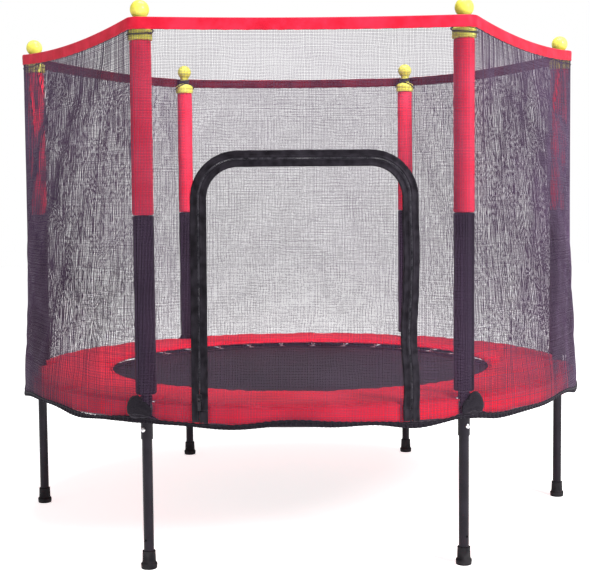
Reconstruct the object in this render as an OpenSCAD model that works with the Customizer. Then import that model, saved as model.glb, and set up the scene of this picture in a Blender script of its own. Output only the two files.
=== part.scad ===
// Children's round trampoline with six legs, six foam-padded poles and a hexagonal safety net.
// The floor is z = 0, the origin is on it under the middle of the mat, and the door faces -Y.

/* [Frame] */
// Radius of the circle that the ring tube, the legs and the poles stand on
ring_r = 675; // [650:5:700]
// Height of the ring tube's centre line
ring_z = 330; // [320:5:340]
// Outer diameter of the ring tube
ring_tube_d = 25; // [24:0.5:26]
// Outer diameter of the leg and pole tubes
post_d = 22.2; // [20:0.1:22.4]
// Wall thickness of the leg and pole tubes
post_wall = 1.2; // [1:0.1:1.5]
// Outer diameter of the welded socket that takes a leg from below and a pole from above
socket_d = 26.2; // [26:0.1:27]
// Height of the socket's lower end
socket_bottom = 280; // [270:5:290]
// Height of the socket's upper end
socket_top = 372; // [368:1:374]

/* [Poles and foam] */
// Height of the top of the ball on each pole
total_h = 1200; // [1150:10:1250]
// Outer diameter of the foam sleeves
foam_d = 45; // [40:1:46]
// Height where the black lower sleeve ends and the red upper sleeve starts
foam_split = 754; // [600:1:850]
// Diameter of the ball on the pole cap
ball_d = 40; // [34:1:44]
// Diameter of the cap's collar, which covers the end of the foam
collar_d = 52; // [48:1:52]

/* [Mat and springs] */
// Radius of the woven mat inside its stitched edge
mat_r = 502; // [480:2:510]
// Height of the middle plane of the mat
mat_z = 340; // [338:0.5:342]
// Number of springs
spring_count = 36; // [30:6:42]
// Outer diameter of a spring's coil
spring_d = 12; // [10:0.5:13]

/* [Safety pad] */
// Inner radius of the pad
pad_inner_r = 486; // [460:2:500]
// Outer radius of the pad
pad_outer_r = 694; // [690:1:696]
// Height of the pad's top face
pad_top = 366; // [364:1:367]
// Thickness of the pad
pad_t = 12; // [8:1:12]

/* [Net] */
// Gap from a pole's axis to the inside of the net
net_gap = 27; // [27:0.1:28]
// Thickness of the solid that stands for the net
net_t = 1.2; // [1:0.1:2]
// Height of the red tape along the top edge of the net
band_h = 25; // [20:1:30]

/* [Door] */
// Half of the distance between the two legs of the zip
door_half_w = 218; // [190:2:230]
// Height of the top run of the zip
door_top = 868; // [800:2:900]
// Radius of the zip's upper corners
door_corner_r = 81; // [60:1:100]
// Width of one zip tape
zip_tape_w = 15.5; // [12:0.5:18]

/* [Hidden] */
$fn = 96;
sides = 6;
side_angle = 360 / sides;
running_gap = 0.1;                     // radial gap of a tube in its socket
small_gap = 0.3;

post_r = post_d / 2;
socket_r = socket_d / 2;
socket_bore_r = post_r + running_gap;
ring_tube_r = ring_tube_d / 2;
ring_bore_r = ring_tube_r - 1.2;
spigot_r = ring_bore_r - running_gap;
spigot_l = 40;

foot_h = 39;
foot_base_h = 14;
foot_base_d = 35;
foot_d = 28;
foot_floor_t = 5;
leg_hole_r = 2.5;
leg_hole_z = 62;

screw_z = 301.5;
screw_r = 2.9;
screw_head_r = 5.5;
screw_head_h = 3.4;
screw_l = 14;

foam_bottom = 376;
foam_top = total_h - 83.5;
collar_h = 20;
flare_h = 8;
neck_r = 12;
ball_z = total_h - ball_d / 2;
plug_l = 30;
plug_r = post_r - post_wall - running_gap;

mat_t = 1.2;
edge_w = 26;
edge_t = 5;
link_out = 30;                         // how far a V-shaped link reaches past the mat's edge
link_half_w = 16;
link_wire = 2.4;
link_z = mat_z + 2;
spring_wire_r = 1.1;
hook_r = 5.5;
hook_centre_r = mat_r + edge_w + link_out + 0.5;
spring_z = 347;
spring_in_r = hook_centre_r + hook_r;
spring_out_r = ring_r - 27;
barrel_l = spring_out_r - spring_in_r + 0.8;
spring_wall = 1.8;
hook_hole_r = 2.5;
hook_drop_r = ring_r - 3;
hook_tip_z = ring_z + ring_tube_r - 6;

pad_skirt_t = 3;
pad_skirt_bottom = 344;
pad_slot_r = 22;

net_r = ring_r + net_gap;              // radius of the net's round lower edge
net_flat = ring_r * cos(side_angle / 2);  // distance from the middle to the chord between two poles
net_half_x = net_r * sin(side_angle / 2);
net_corner_x = ring_r * sin(side_angle / 2);
net_round_top = 352;                   // the net is a plain cylinder below this height
net_low = 334.3;
loop_z = 1152;
loop_wire_r = 1.6;
band_bottom = loop_z - band_h / 2 - 0.5;
band_t = 1.6;
band_w = net_gap + net_t + 0.2;
net_top = band_bottom + band_h - 1;
hem_low = 318;
hem_t = 2.4;

door_bottom = 353;
tape_gap = 1.5;                        // half of the slot that the zip's coil and slider run in
tape_t = 1.4;
tape_off = net_t + small_gap;
slider_z = 372;
slider_w = 12;
slider_l = 15;
plate_t = 1.6;
slider_clear = 1.6;
bridge_w = 1.6;
bridge_l = 5;
eye_w = 4;
eye_l = 8;
eye_h = 4;
pin_z = 7;                             // height of the pull's pin above the slider's lower end
pin_off = 1.9;                         // distance of the pin from the front plate
pull_l = 26;
pull_t = 1.4;
pull_arm_w = 1.2;
pull_arm_l = 8;
pull_pin_r = 0.8;

// Distance from the middle to the net's top edge, square to one side, at x along that side.
function top_y(x) = abs(x) <= net_corner_x ? net_flat + net_gap
    : net_flat + sqrt(pow(net_gap, 2) - pow(abs(x) - net_corner_x, 2));

// Distance to the net's round lower edge.
function bottom_y(x) = sqrt(pow(net_r, 2) - pow(x, 2));

// The net is ruled: each x has one straight line from the lower edge up to the band, and is upright there.
function net_y(x, z) =
    let (t = min(1, max(0, (z - net_round_top) / (band_bottom - net_round_top))))
    bottom_y(x) * (1 - t) + top_y(x) * t;

// Places a child on the pole circle at pole number i. Poles 1 and 4 stand on the X axis.
module at_pole(i) {
    rotate([0, 0, (i - 1) * side_angle]) translate([ring_r, 0, 0]) children();
}

module tube(r, wall, low, high) {
    translate([0, 0, low]) difference() {
        cylinder(r = r, h = high - low);
        translate([0, 0, -1]) cylinder(r = r - wall, h = high - low + 2);
    }
}

// A bent tube or rod on the ring's centre line, from one angle to another.
module ring_bar(r, from, to) {
    rotate([0, 0, from]) rotate_extrude(angle = to - from)
        translate([ring_r, 0]) circle(r = r);
}

// One sixth of the ring. Its socket and spigot are welded on, and the next spigot enters its far end.
module frame_arc(i) {
    far = side_angle - (socket_r + 1) / ring_r * 180 / PI;
    spigot_back = (socket_r + spigot_l) / ring_r * 180 / PI;
    spring_step = 360 / spring_count;
    color("#26242a") rotate([0, 0, (i - 1) * side_angle]) difference() {
        union() {
            translate([0, 0, ring_z]) difference() {
                ring_bar(ring_tube_r, 0, far);
                ring_bar(ring_bore_r, 0, far + 1);
            }
            translate([0, 0, ring_z]) ring_bar(spigot_r, -spigot_back, 0);
            translate([ring_r, 0, socket_bottom])
                cylinder(r = socket_r, h = socket_top - socket_bottom);
        }
        translate([ring_r, 0, socket_bottom - 1])
            cylinder(r = socket_bore_r, h = socket_top - socket_bottom + 2);
        translate([ring_r, 0, screw_z]) rotate([0, 90, 0])
            cylinder(r = screw_r + 0.2, h = socket_r + 5);
        for (k = [0:spring_count / sides - 1])
            rotate([0, 0, (k + 0.5) * spring_step])
                translate([hook_drop_r, 0, ring_z + 4]) cylinder(r = hook_hole_r, h = ring_tube_r);
    }
}

module leg(i) {
    color("#26232a") at_pole(i) difference() {
        tube(post_r, post_wall, foot_floor_t, ring_z - 3);
        translate([0, 0, screw_z]) rotate([0, 90, 0]) cylinder(r = screw_r + 0.2, h = post_d);
        translate([0, 0, leg_hole_z]) rotate([0, 90, 0]) cylinder(r = leg_hole_r, h = post_d);
    }
}

module foot(i) {
    color("#1b1a1d") at_pole(i) difference() {
        union() {
            cylinder(d1 = foot_base_d - 2, d2 = foot_base_d, h = 2);
            translate([0, 0, 2]) cylinder(d = foot_base_d, h = foot_base_h - 4);
            translate([0, 0, foot_base_h - 2])
                cylinder(d1 = foot_base_d, d2 = foot_d, h = 2);
            translate([0, 0, foot_base_h]) cylinder(d = foot_d, h = foot_h - foot_base_h);
        }
        translate([0, 0, foot_floor_t]) cylinder(r = post_r + 0.05, h = foot_h);
    }
}

module leg_screws() {
    color("silver") for (i = [1:sides]) at_pole(i)
        translate([socket_r + 0.1, 0, screw_z]) rotate([0, 90, 0]) {
            cylinder(r = screw_head_r, h = screw_head_h);
            translate([0, 0, -screw_l]) cylinder(r = screw_r, h = screw_l + 1);
        }
}

module pole(i) {
    color("#26232a") at_pole(i) tube(post_r, post_wall, ring_z + 3, foam_top);
}

module foam(i, low, high) {
    at_pole(i) tube(foam_d / 2, foam_d / 2 - post_r - 0.15, low, high);
}

module foam_lower(i) {
    color("#2c2a2e") foam(i, foam_bottom, foam_split - small_gap);
}

module foam_upper(i) {
    color("#e3405a") foam(i, foam_split, foam_top - small_gap);
}

// Lemon yellow plug: it enters the tube, its collar covers the foam and the ball closes the top.
module pole_cap(i) {
    neck_z = foam_top + collar_h + flare_h;
    color("#e9e66a") at_pole(i) {
        translate([0, 0, foam_top - plug_l]) cylinder(r = plug_r, h = plug_l + 1);
        translate([0, 0, foam_top]) cylinder(d = collar_d, h = collar_h);
        translate([0, 0, foam_top + collar_h])
            cylinder(d1 = collar_d, r2 = neck_r, h = flare_h);
        translate([0, 0, neck_z]) cylinder(r = neck_r, h = ball_z - neck_z);
        translate([0, 0, ball_z]) sphere(d = ball_d);
    }
}

module jump_mat() {
    color("#2e2b30") translate([0, 0, mat_z - mat_t / 2]) cylinder(r = mat_r, h = mat_t);
}

module mat_edge() {
    color("#1f1e21") translate([0, 0, mat_z - edge_t / 2]) difference() {
        cylinder(r = mat_r + edge_w, h = edge_t);
        translate([0, 0, -1]) cylinder(r = mat_r + 0.2, h = edge_t + 2);
    }
}

// Puts a child at each spring, with x = distance from the middle.
module at_springs() {
    for (k = [0:spring_count - 1]) rotate([0, 0, (k + 0.5) * 360 / spring_count]) children();
}

// A flat wire triangle sewn into the mat's edge.
module link() {
    inner = mat_r + edge_w - 8;
    tip = mat_r + edge_w + link_out;
    translate([0, 0, link_z - link_wire / 2]) linear_extrude(link_wire) difference() {
        polygon([[inner, -link_half_w], [tip, -2.5], [tip, 2.5], [inner, link_half_w]]);
        polygon([
            [inner + link_wire, -link_half_w + 4], [tip - 2.6, -1.8],
            [tip - 2.6, 1.8], [inner + link_wire, link_half_w - 4]
        ]);
    }
}

module mat_links() {
    color("#b9b9bd") at_springs() link();
}

// A close-wound spring: the barrel is its outer shape, with a round hook inside and a drop hook outside.
module spring() {
    translate([0, 0, spring_z]) rotate([0, 90, 0]) difference() {
        translate([0, 0, spring_in_r - 0.8]) cylinder(d = spring_d, h = barrel_l);
        translate([0, 0, spring_in_r + 2]) cylinder(d = spring_d - 2 * spring_wall, h = barrel_l - 5);
    }
    translate([hook_centre_r, 0, link_z + 1.5]) rotate([90, 0, 0])
        rotate_extrude() translate([hook_r, 0]) circle(r = spring_wire_r, $fn = 24);
    translate([spring_out_r - 1, 0, spring_z]) rotate([0, 90, 0])
        cylinder(r = spring_wire_r, h = hook_drop_r - spring_out_r + 1, $fn = 24);
    translate([hook_drop_r, 0, spring_z]) sphere(r = spring_wire_r * 1.3, $fn = 24);
    translate([hook_drop_r, 0, hook_tip_z])
        cylinder(r = spring_wire_r, h = spring_z - hook_tip_z, $fn = 24);
}

module springs() {
    color("#c8c8cc") at_springs() spring();
}

// Foam pad in its cover, with a skirt over the rim and one open slot for each pole.
module safety_pad() {
    color("#cf1f38") difference() {
        rotate_extrude() polygon([
            [pad_inner_r, pad_top - pad_t], [pad_outer_r - pad_skirt_t, pad_top - pad_t],
            [pad_outer_r - pad_skirt_t, pad_skirt_bottom], [pad_outer_r, pad_skirt_bottom],
            [pad_outer_r, pad_top], [pad_inner_r, pad_top]
        ]);
        for (i = [1:sides]) at_pole(i) translate([0, 0, pad_skirt_bottom - 1]) {
            cylinder(r = pad_slot_r, h = 30);
            translate([0, -pad_slot_r, 0]) cube([60, 2 * pad_slot_r, 30]);
        }
    }
}

// A closed sheet that follows the net. The grid is rows of [x, z] points on one side of the hexagon.
// The sheet starts a distance off outside the net's inner face and is t thick. Each cell of the grid is
// cut along the diagonal that lies further in, so no facet stands proud of the true surface.
module net_sheet(grid, off, t) {
    nx = len(grid[0]);
    nz = len(grid);
    inner = [for (row = grid) for (p = row) [p[0], net_y(p[0], p[1]) + off, p[1]]];
    outer = [for (q = inner) q + [0, t, 0]];
    o = nx * nz;
    last = nx * (nz - 1);
    wall = [for (j = [0:nz - 2]) for (i = [0:nx - 2])
        let (a = j * nx + i, b = a + 1, c = b + nx, d = a + nx,
             q = inner[a][1] + inner[c][1] < inner[b][1] + inner[d][1] ? [a, b, c, d] : [b, c, d, a])
        each [[q[0], q[1], q[2]], [q[0], q[2], q[3]],
              [o + q[0], o + q[2], o + q[1]], [o + q[0], o + q[3], o + q[2]]]];
    ends = [for (j = [0:nz - 2]) let (a = j * nx, b = j * nx + nx - 1)
        each [[a, a + nx, o + a + nx], [a, o + a + nx, o + a],
              [b, o + b + nx, b + nx], [b, o + b, o + b + nx]]];
    rims = [for (i = [0:nx - 2])
        each [[i, o + i, o + i + 1], [i, o + i + 1, i + 1],
              [last + i, last + i + 1, o + last + i + 1], [last + i, o + last + i + 1, o + last + i]]];
    polyhedron(points = concat(inner, outer), faces = concat(wall, ends, rims));
}

function net_grid(xs, zs) = [for (z = zs) [for (x = xs) [x, z]]];

// Positions along a side that crowd towards the rounded corners.
function side_xs(n) = [for (i = [-n:n]) net_half_x * sin(90 * i / n) * (1 - small_gap / 800)];

net_zs = [net_low, net_round_top, 500, 640, 780, door_top + 20, band_bottom, net_top];

// Side k runs from pole k to pole k + 1.
module on_side(k) {
    rotate([0, 0, (k - 0.5) * side_angle - 90]) children();
}

module net_side(k) {
    on_side(k) net_sheet(net_grid(side_xs(6), net_zs), 0, net_t);
}

module net_right() {
    color("#5d5560", 0.5) {
        net_side(1);
        net_side(6);
    }
}

module net_back() {
    color("#5d5560", 0.5) net_side(2);
}

module net_left() {
    color("#5d5560", 0.5) {
        net_side(3);
        net_side(4);
    }
}

// Outline of the doorway, grown by g all round, from a height low upwards.
module arch_2d(g, low) {
    w = door_half_w + g;
    top = door_top + g;
    r = door_corner_r + g;
    translate([-w, low]) square([2 * w, top - r - low]);
    translate([-w + r, top - r - 1]) square([2 * (w - r), r + 1]);
    for (s = [-1, 1]) translate([s * (w - r), top - r]) circle(r = r);
}

// Runs an outline on the front side out through the net.
module through_front(depth) {
    translate([0, net_r + 60, 0]) rotate([90, 0, 0]) linear_extrude(depth) children();
}

module net_front() {
    color("#5d5560", 0.5) on_side(5) difference() {
        net_sheet(net_grid(side_xs(8), net_zs), 0, net_t);
        through_front(200) arch_2d(tape_gap, door_bottom - tape_gap);
    }
}

door_xs = [for (i = [-8:8]) (door_half_w + 20) * i / 8];
door_zs = [door_bottom, 500, 640, 780, door_top + 20];

module door_net() {
    color("#5d5560", 0.5) on_side(5) intersection() {
        net_sheet(net_grid(door_xs, door_zs), 0, net_t);
        through_front(200) arch_2d(-tape_gap, net_low);
    }
}

// Points along the doorway's outline, grown by g: up the left leg, over the top and down the right leg.
function arch_path(g, low) =
    let (w = door_half_w + g, r = door_corner_r + g, shoulder = door_top - door_corner_r,
         flat = door_half_w - door_corner_r, legs = 4, step = 15, foot = max(low, net_round_top),
         heights = concat(low < foot ? [low] : [],
                          [for (k = [0:legs - 1]) foot + (shoulder - foot) * k / legs]))
    concat(
        [for (z = heights) [-w, z]],
        [for (a = [180:-step:90]) [-flat + r * cos(a), shoulder + r * sin(a)]],
        [for (x = [-3:3]) [x * flat / 4, shoulder + r]],
        [for (a = [90:-step:0]) [flat + r * cos(a), shoulder + r * sin(a)]],
        [for (k = [len(heights) - 1:-1:0]) [w, heights[k]]]);

// One zip tape: a strip of the sheet between two outlines of the doorway.
module zip_tape(outside, inside, low) {
    outer_path = arch_path(outside, low);
    inner_path = arch_path(inside, low);
    net_sheet([for (k = [0:len(outer_path) - 1]) [outer_path[k], inner_path[k]]], tape_off, tape_t);
}

module zip_tape_wall() {
    color("#2f2b31") on_side(5) zip_tape(tape_gap + zip_tape_w, tape_gap, net_low + 2);
}

module zip_tape_door() {
    color("#2f2b31") on_side(5) zip_tape(-tape_gap, -tape_gap - zip_tape_w, door_bottom);
}

// The left leg of the zip, seen from outside: its lean and its heading where the slider rests.
zip_x = door_half_w;
zip_travel = 395;
zip_mid = slider_z + zip_travel / 2;
zip_lean = atan((net_y(zip_x, slider_z) - net_y(zip_x, slider_z + zip_travel)) / zip_travel);
zip_turn = atan((net_y(zip_x - 5, zip_mid) - net_y(zip_x + 5, zip_mid)) / 10);

// Local frame of the slider: +Y out of the net, +Z up along the zip's leg, -X towards the door.
module at_slider() {
    on_side(5) translate([zip_x, net_y(zip_x, slider_z), slider_z])
        rotate([zip_lean, 0, 0]) rotate([0, 0, -zip_turn]) children();
}

front_plate_y = tape_off + tape_t + slider_clear;
back_plate_y = -slider_clear - plate_t;

// The slider rides on the door's tape: its back plate is only behind that tape, so the door can fold out.
module zip_slider() {
    color("#3a383c") at_slider() {
        translate([-slider_w / 2, front_plate_y, 0]) cube([slider_w, plate_t, slider_l]);
        translate([-slider_w / 2, back_plate_y, 0])
            cube([(slider_w + bridge_w) / 2, plate_t, slider_l]);
        translate([-bridge_w / 2, back_plate_y, slider_l - bridge_l])
            cube([bridge_w, front_plate_y - back_plate_y + plate_t, bridge_l]);
        difference() {
            translate([-eye_w / 2, front_plate_y + plate_t - 0.2, pin_z - eye_l / 2])
                cube([eye_w, eye_h, eye_l]);
            translate([-eye_w, front_plate_y + plate_t + pin_off, pin_z]) rotate([0, 90, 0])
                cylinder(r = pull_pin_r + running_gap, h = 2 * eye_w, $fn = 24);
        }
    }
}

// The pull hangs from a pin through the slider's eye.
module zip_pull() {
    half_w = eye_w / 2 + 0.4 + pull_arm_w;
    color("#4a484c") at_slider() translate([0, front_plate_y + plate_t + pin_off, pin_z])
        rotate([-zip_lean, 0, 0]) {
            rotate([0, 90, 0]) translate([0, 0, -half_w])
                cylinder(r = pull_pin_r, h = 2 * half_w, $fn = 24);
            for (x = [-half_w, half_w - pull_arm_w]) translate([x, -pull_t / 2, -pull_arm_l])
                cube([pull_arm_w, pull_t, pull_arm_l]);
            translate([-half_w, -pull_t / 2, -pull_l])
                cube([2 * half_w, pull_t, pull_l - pull_arm_l + 0.5]);
        }
}

// Rounded hexagon that keeps a distance w from the hexagon through the six poles.
module hexagon_2d(w) {
    corner_step = side_angle / 8;
    polygon([for (k = [0:sides - 1]) for (s = [-4:4])
        let (a = k * side_angle, n = a + s * corner_step)
        [ring_r * cos(a) + w * cos(n), ring_r * sin(a) + w * sin(n)]]);
}

module top_band() {
    color("#d8263f") translate([0, 0, band_bottom]) linear_extrude(band_h) difference() {
        hexagon_2d(band_w + band_t);
        hexagon_2d(band_w);
    }
}

// Elastic loops that tie the top edge of the net to the necks of the caps.
module neck_loops() {
    major = neck_r + loop_wire_r + 0.3;
    color("#232126") for (i = [1:sides]) at_pole(i) translate([0, 0, loop_z]) {
        rotate_extrude() translate([major, 0]) circle(r = loop_wire_r, $fn = 24);
        rotate([0, 90, 0]) translate([0, 0, major])
            cylinder(r = loop_wire_r, h = net_gap - major - 0.4, $fn = 24);
    }
}

module net_hem() {
    color("#242227") translate([0, 0, hem_low]) difference() {
        cylinder(r = net_r + hem_t, h = net_low - hem_low - 0.2);
        translate([0, 0, -1]) cylinder(r = net_r, h = net_low - hem_low + 2);
    }
}

for (i = [1:sides]) {
    frame_arc(i);
    leg(i);
    foot(i);
    pole(i);
    foam_lower(i);
    foam_upper(i);
    pole_cap(i);
}
leg_screws();
jump_mat();
mat_edge();
mat_links();
springs();
safety_pad();
net_left();
net_back();
net_right();
net_front();
top_band();
neck_loops();
net_hem();
door_net();
zip_tape_wall();
zip_tape_door();
zip_slider();
zip_pull();
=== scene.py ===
from math import acos, asin, atan, atan2, cos, exp, pi, radians, sin, sqrt, tau

import bmesh
import bpy
import numpy as np
from mathutils import Matrix, Vector, noise


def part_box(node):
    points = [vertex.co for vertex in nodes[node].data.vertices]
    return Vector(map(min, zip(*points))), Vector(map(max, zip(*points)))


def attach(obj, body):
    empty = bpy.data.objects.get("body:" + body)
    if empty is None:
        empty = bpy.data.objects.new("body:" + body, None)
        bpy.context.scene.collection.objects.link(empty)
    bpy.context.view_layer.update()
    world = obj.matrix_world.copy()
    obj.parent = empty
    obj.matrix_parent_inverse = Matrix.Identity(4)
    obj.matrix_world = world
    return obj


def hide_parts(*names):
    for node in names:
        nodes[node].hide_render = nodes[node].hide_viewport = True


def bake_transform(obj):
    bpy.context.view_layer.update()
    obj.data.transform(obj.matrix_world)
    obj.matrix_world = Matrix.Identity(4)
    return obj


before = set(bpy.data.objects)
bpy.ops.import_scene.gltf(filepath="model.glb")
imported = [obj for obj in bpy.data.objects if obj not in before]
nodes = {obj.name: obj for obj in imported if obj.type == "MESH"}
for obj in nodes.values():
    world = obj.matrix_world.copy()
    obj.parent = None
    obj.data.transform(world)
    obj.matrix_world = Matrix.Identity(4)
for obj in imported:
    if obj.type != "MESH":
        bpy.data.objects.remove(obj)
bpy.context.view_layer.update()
scene = bpy.context.scene

# ---------------------------------------------------------------- room, light and camera
# A white seamless floor under a bright, even studio sky. A broad key light stands to the front
# right, a softbox hangs overhead and a weaker fill stands to the left.

FOCAL_MM, SENSOR_MM, FAR_CLIP = 72.4, 36, 60
CAMERA_AT = Vector((-0.0528, -3.0837, 0.7724))
CAMERA_YAW, CAMERA_PITCH, CAMERA_ROLL = -0.0131, 0.0684, 0.0090

camera_data = bpy.data.cameras.new("camera")
camera_data.lens = FOCAL_MM
camera_data.sensor_width = SENSOR_MM
camera_data.clip_end = FAR_CLIP
camera = bpy.data.objects.new("camera", camera_data)
scene.collection.objects.link(camera)
camera.matrix_world = (
    Matrix.Translation(CAMERA_AT)
    @ Matrix.Rotation(CAMERA_YAW, 4, "Z")
    @ Matrix.Rotation(pi / 2 - CAMERA_PITCH, 4, "X")
    @ Matrix.Rotation(-CAMERA_ROLL, 4, "Z")
)
scene.camera = camera
scene.view_settings.view_transform = "Standard"

WHITE = (1, 1, 1, 1)
SKY_STRENGTH, BACKDROP_STRENGTH = 0.26, 1.0


def node_of(tree, kind, **links):
    """A new node; each keyword is an input, and its value a socket to link or a plain value."""
    node = tree.nodes.new(kind)
    return fed(tree, node, **links)


def fed(tree, node, **links):
    """The node with inputs linked or set; an underscore in a keyword stands for a space."""
    for label, value in links.items():
        socket = node.inputs[label.replace("_", " ")]
        if isinstance(value, bpy.types.NodeSocket):
            tree.links.new(value, socket)
        else:
            socket.default_value = value
    return node


world = bpy.data.worlds.new("studio")
scene.world = world
world.use_nodes = True
sky = world.node_tree
sky_light = fed(sky, sky.nodes["Background"], Color=WHITE, Strength=SKY_STRENGTH)
backdrop = node_of(sky, "ShaderNodeBackground", Color=WHITE, Strength=BACKDROP_STRENGTH)
seen = node_of(sky, "ShaderNodeLightPath")
choose = node_of(sky, "ShaderNodeMixShader", Fac=seen.outputs["Is Camera Ray"])
sky.links.new(sky_light.outputs[0], choose.inputs[1])
sky.links.new(backdrop.outputs[0], choose.inputs[2])
fed(sky, sky.nodes["World Output"], Surface=choose.outputs[0])

LAMPS_AIM_AT = Vector((0, 0, 0.7))


def area_light(name, place, size, power):
    """A round lamp that points at the trampoline."""
    data = bpy.data.lights.new(name, "AREA")
    data.shape = "DISK"
    data.size = size
    data.energy = power
    lamp = bpy.data.objects.new(name, data)
    scene.collection.objects.link(lamp)
    lamp.location = place
    lamp.rotation_euler = (LAMPS_AIM_AT - lamp.location).to_track_quat("-Z", "Y").to_euler()


area_light("key", Vector((3.0, -3.4, 2.7)), 1.3, 270)
area_light("overhead", Vector((0.3, -0.6, 3.9)), 2.4, 150)
area_light("fill", Vector((-3.2, -2.6, 1.6)), 2.0, 12)

FLOOR_HALF, FLOOR_GLOW = 12, 0.78
floor_mesh = bpy.data.meshes.new("floor")
floor_corners = [(x * FLOOR_HALF, y * FLOOR_HALF, 0) for x, y in ((-1, -1), (1, -1), (1, 1), (-1, 1))]
floor_mesh.from_pydata(floor_corners, [], [(0, 1, 2, 3)])
floor = bpy.data.objects.new("floor", floor_mesh)
scene.collection.objects.link(floor)
floor_paint = bpy.data.materials.new("white_floor")
floor_paint.use_nodes = True
fed(
    floor_paint.node_tree, floor_paint.node_tree.nodes["Principled BSDF"],
    Base_Color=(0.93, 0.93, 0.93, 1), Roughness=0.7, Emission_Color=WHITE, Emission_Strength=FLOOR_GLOW,
)
floor_mesh.materials.append(floor_paint)

# ---------------------------------------------------------------- ring, legs and pole tubes
# Six bent tubes with welded leg sockets make the ring. Legs and poles are straight steel tube.
# All of it is dipped in gloss black paint, which shows a faint orange peel.

LOW_SPECULAR, LILAC = 0.08, (0.78, 0.66, 0.9, 1)


def finish(name, colour, roughness, **more):
    """A new material, its node tree and its principled shader with more of its inputs set."""
    material = bpy.data.materials.new(name)
    material.use_nodes = True
    tree = material.node_tree
    usual = {"Specular_IOR_Level": LOW_SPECULAR, "Specular_Tint": LILAC}
    usual.update(more, Base_Color=(*colour, 1), Roughness=roughness)
    return material, tree, fed(tree, tree.nodes["Principled BSDF"], **usual)


def object_noise(tree, scale, detail=2.0, stretch=(1, 1, 1)):
    """Noise on the piece's own coordinates; the scale is in waves per metre."""
    place = node_of(tree, "ShaderNodeTexCoord")
    size = node_of(tree, "ShaderNodeMapping", Scale=stretch, Vector=place.outputs["Object"])
    texture = node_of(tree, "ShaderNodeTexNoise", Scale=scale, Detail=detail, Vector=size.outputs["Vector"])
    return texture.outputs["Fac"]


def two_tone(tree, shader, fac, low, high, start=0.35, end=0.65):
    """Base colour that runs between two shades as fac rises from start to end."""
    ramp = node_of(tree, "ShaderNodeValToRGB", Fac=fac)
    for stop, place, shade in zip(ramp.color_ramp.elements, (start, end), (low, high)):
        stop.position, stop.color = place, (*shade, 1)
    fed(tree, shader, Base_Color=ramp.outputs["Color"])


def rough_range(tree, shader, fac, low, high):
    """Roughness that runs from low to high with fac."""
    span = node_of(tree, "ShaderNodeMapRange", Value=fac, To_Min=low, To_Max=high)
    fed(tree, shader, Roughness=span.outputs["Result"])


def bump(tree, shader, height, depth, strength):
    """Surface relief of a depth in metres. A second call adds to the first."""
    relief = node_of(tree, "ShaderNodeBump", Height=height, Distance=depth, Strength=strength)
    before = shader.inputs["Normal"].links
    if before:
        fed(tree, relief, Normal=before[0].from_socket)
    fed(tree, shader, Normal=relief.outputs["Normal"])


def give(piece, material):
    """Puts one material on the whole piece."""
    piece.data.materials.clear()
    piece.data.materials.append(material)


frame_paint, tree, shader = finish(
    "frame_paint", (0.008, 0.006, 0.010), 0.2,
    Coat_Weight=0.2, Coat_Roughness=0.06,
)
two_tone(tree, shader, object_noise(tree, 25), (0.003, 0.002, 0.004), (0.008, 0.006, 0.010))
rough_range(tree, shader, object_noise(tree, 60, 4), 0.16, 0.32)
bump(tree, shader, object_noise(tree, 420, 3), 0.0004, 0.35)

POSTS = range(1, 7)
for i in POSTS:
    for tube_name in ("frame_arc", "leg", "pole"):
        give(nodes[f"{tube_name}_{i}"], frame_paint)


def new_piece(name, points, faces, material):
    """A mesh piece at the origin with its faces turned outwards."""
    mesh = bpy.data.meshes.new(name)
    mesh.from_pydata([tuple(p) for p in points], [], faces)
    mesh.materials.append(material)
    work = bmesh.new()
    work.from_mesh(mesh)
    bmesh.ops.remove_doubles(work, verts=work.verts, dist=1e-6)
    bmesh.ops.recalc_face_normals(work, faces=work.faces)
    work.to_mesh(mesh)
    work.free()
    mesh.polygons.foreach_set("use_smooth", [True] * len(mesh.polygons))
    piece = bpy.data.objects.new(name, mesh)
    scene.collection.objects.link(piece)
    return piece


def grid_faces(rows, wide, closed=False, joined=False, first=0):
    """Quads between rows of points; closed joins each row's ends, joined the last row to the first."""
    return [
        tuple(
            first + row % rows * wide + place % wide
            for row, place in ((r, k), (r, k + 1), (r + 1, k + 1), (r + 1, k))
        )
        for r in range(rows if joined else rows - 1)
        for k in range(wide if closed else wide - 1)
    ]


def polar(radius, angle, height=0.0):
    """A point at an angle round the middle."""
    return Vector((radius * cos(angle), radius * sin(angle), height))


def post_frame(i):
    """Post i on the floor: its place, the outward direction and the direction along the ring."""
    low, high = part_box(f"leg_{i}")
    foot = Vector(((low.x + high.x) / 2, (low.y + high.y) / 2, 0))
    out = foot.normalized()
    return foot, out, Vector((-out.y, out.x, 0))


def line_set(name, lines, normals=None):
    """Loose edges for a tree to run along: lines is a list of (points, closed)."""
    points, edges, turned = [], [], []
    for number, (line, closed) in enumerate(lines):
        first = len(points)
        points += [tuple(p) for p in line]
        edges += [(first + k, first + k + 1) for k in range(len(line) - 1)]
        if closed:
            edges.append((first + len(line) - 1, first))
        if normals:
            turned += [c for n in normals[number] for c in n]
    mesh = bpy.data.meshes.new(name)
    mesh.from_pydata(points, edges, [])
    if normals:
        mesh.attributes.new("facing", "FLOAT_VECTOR", "POINT").data.foreach_set("vector", turned)
    piece = bpy.data.objects.new(name, mesh)
    scene.collection.objects.link(piece)
    return piece


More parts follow.
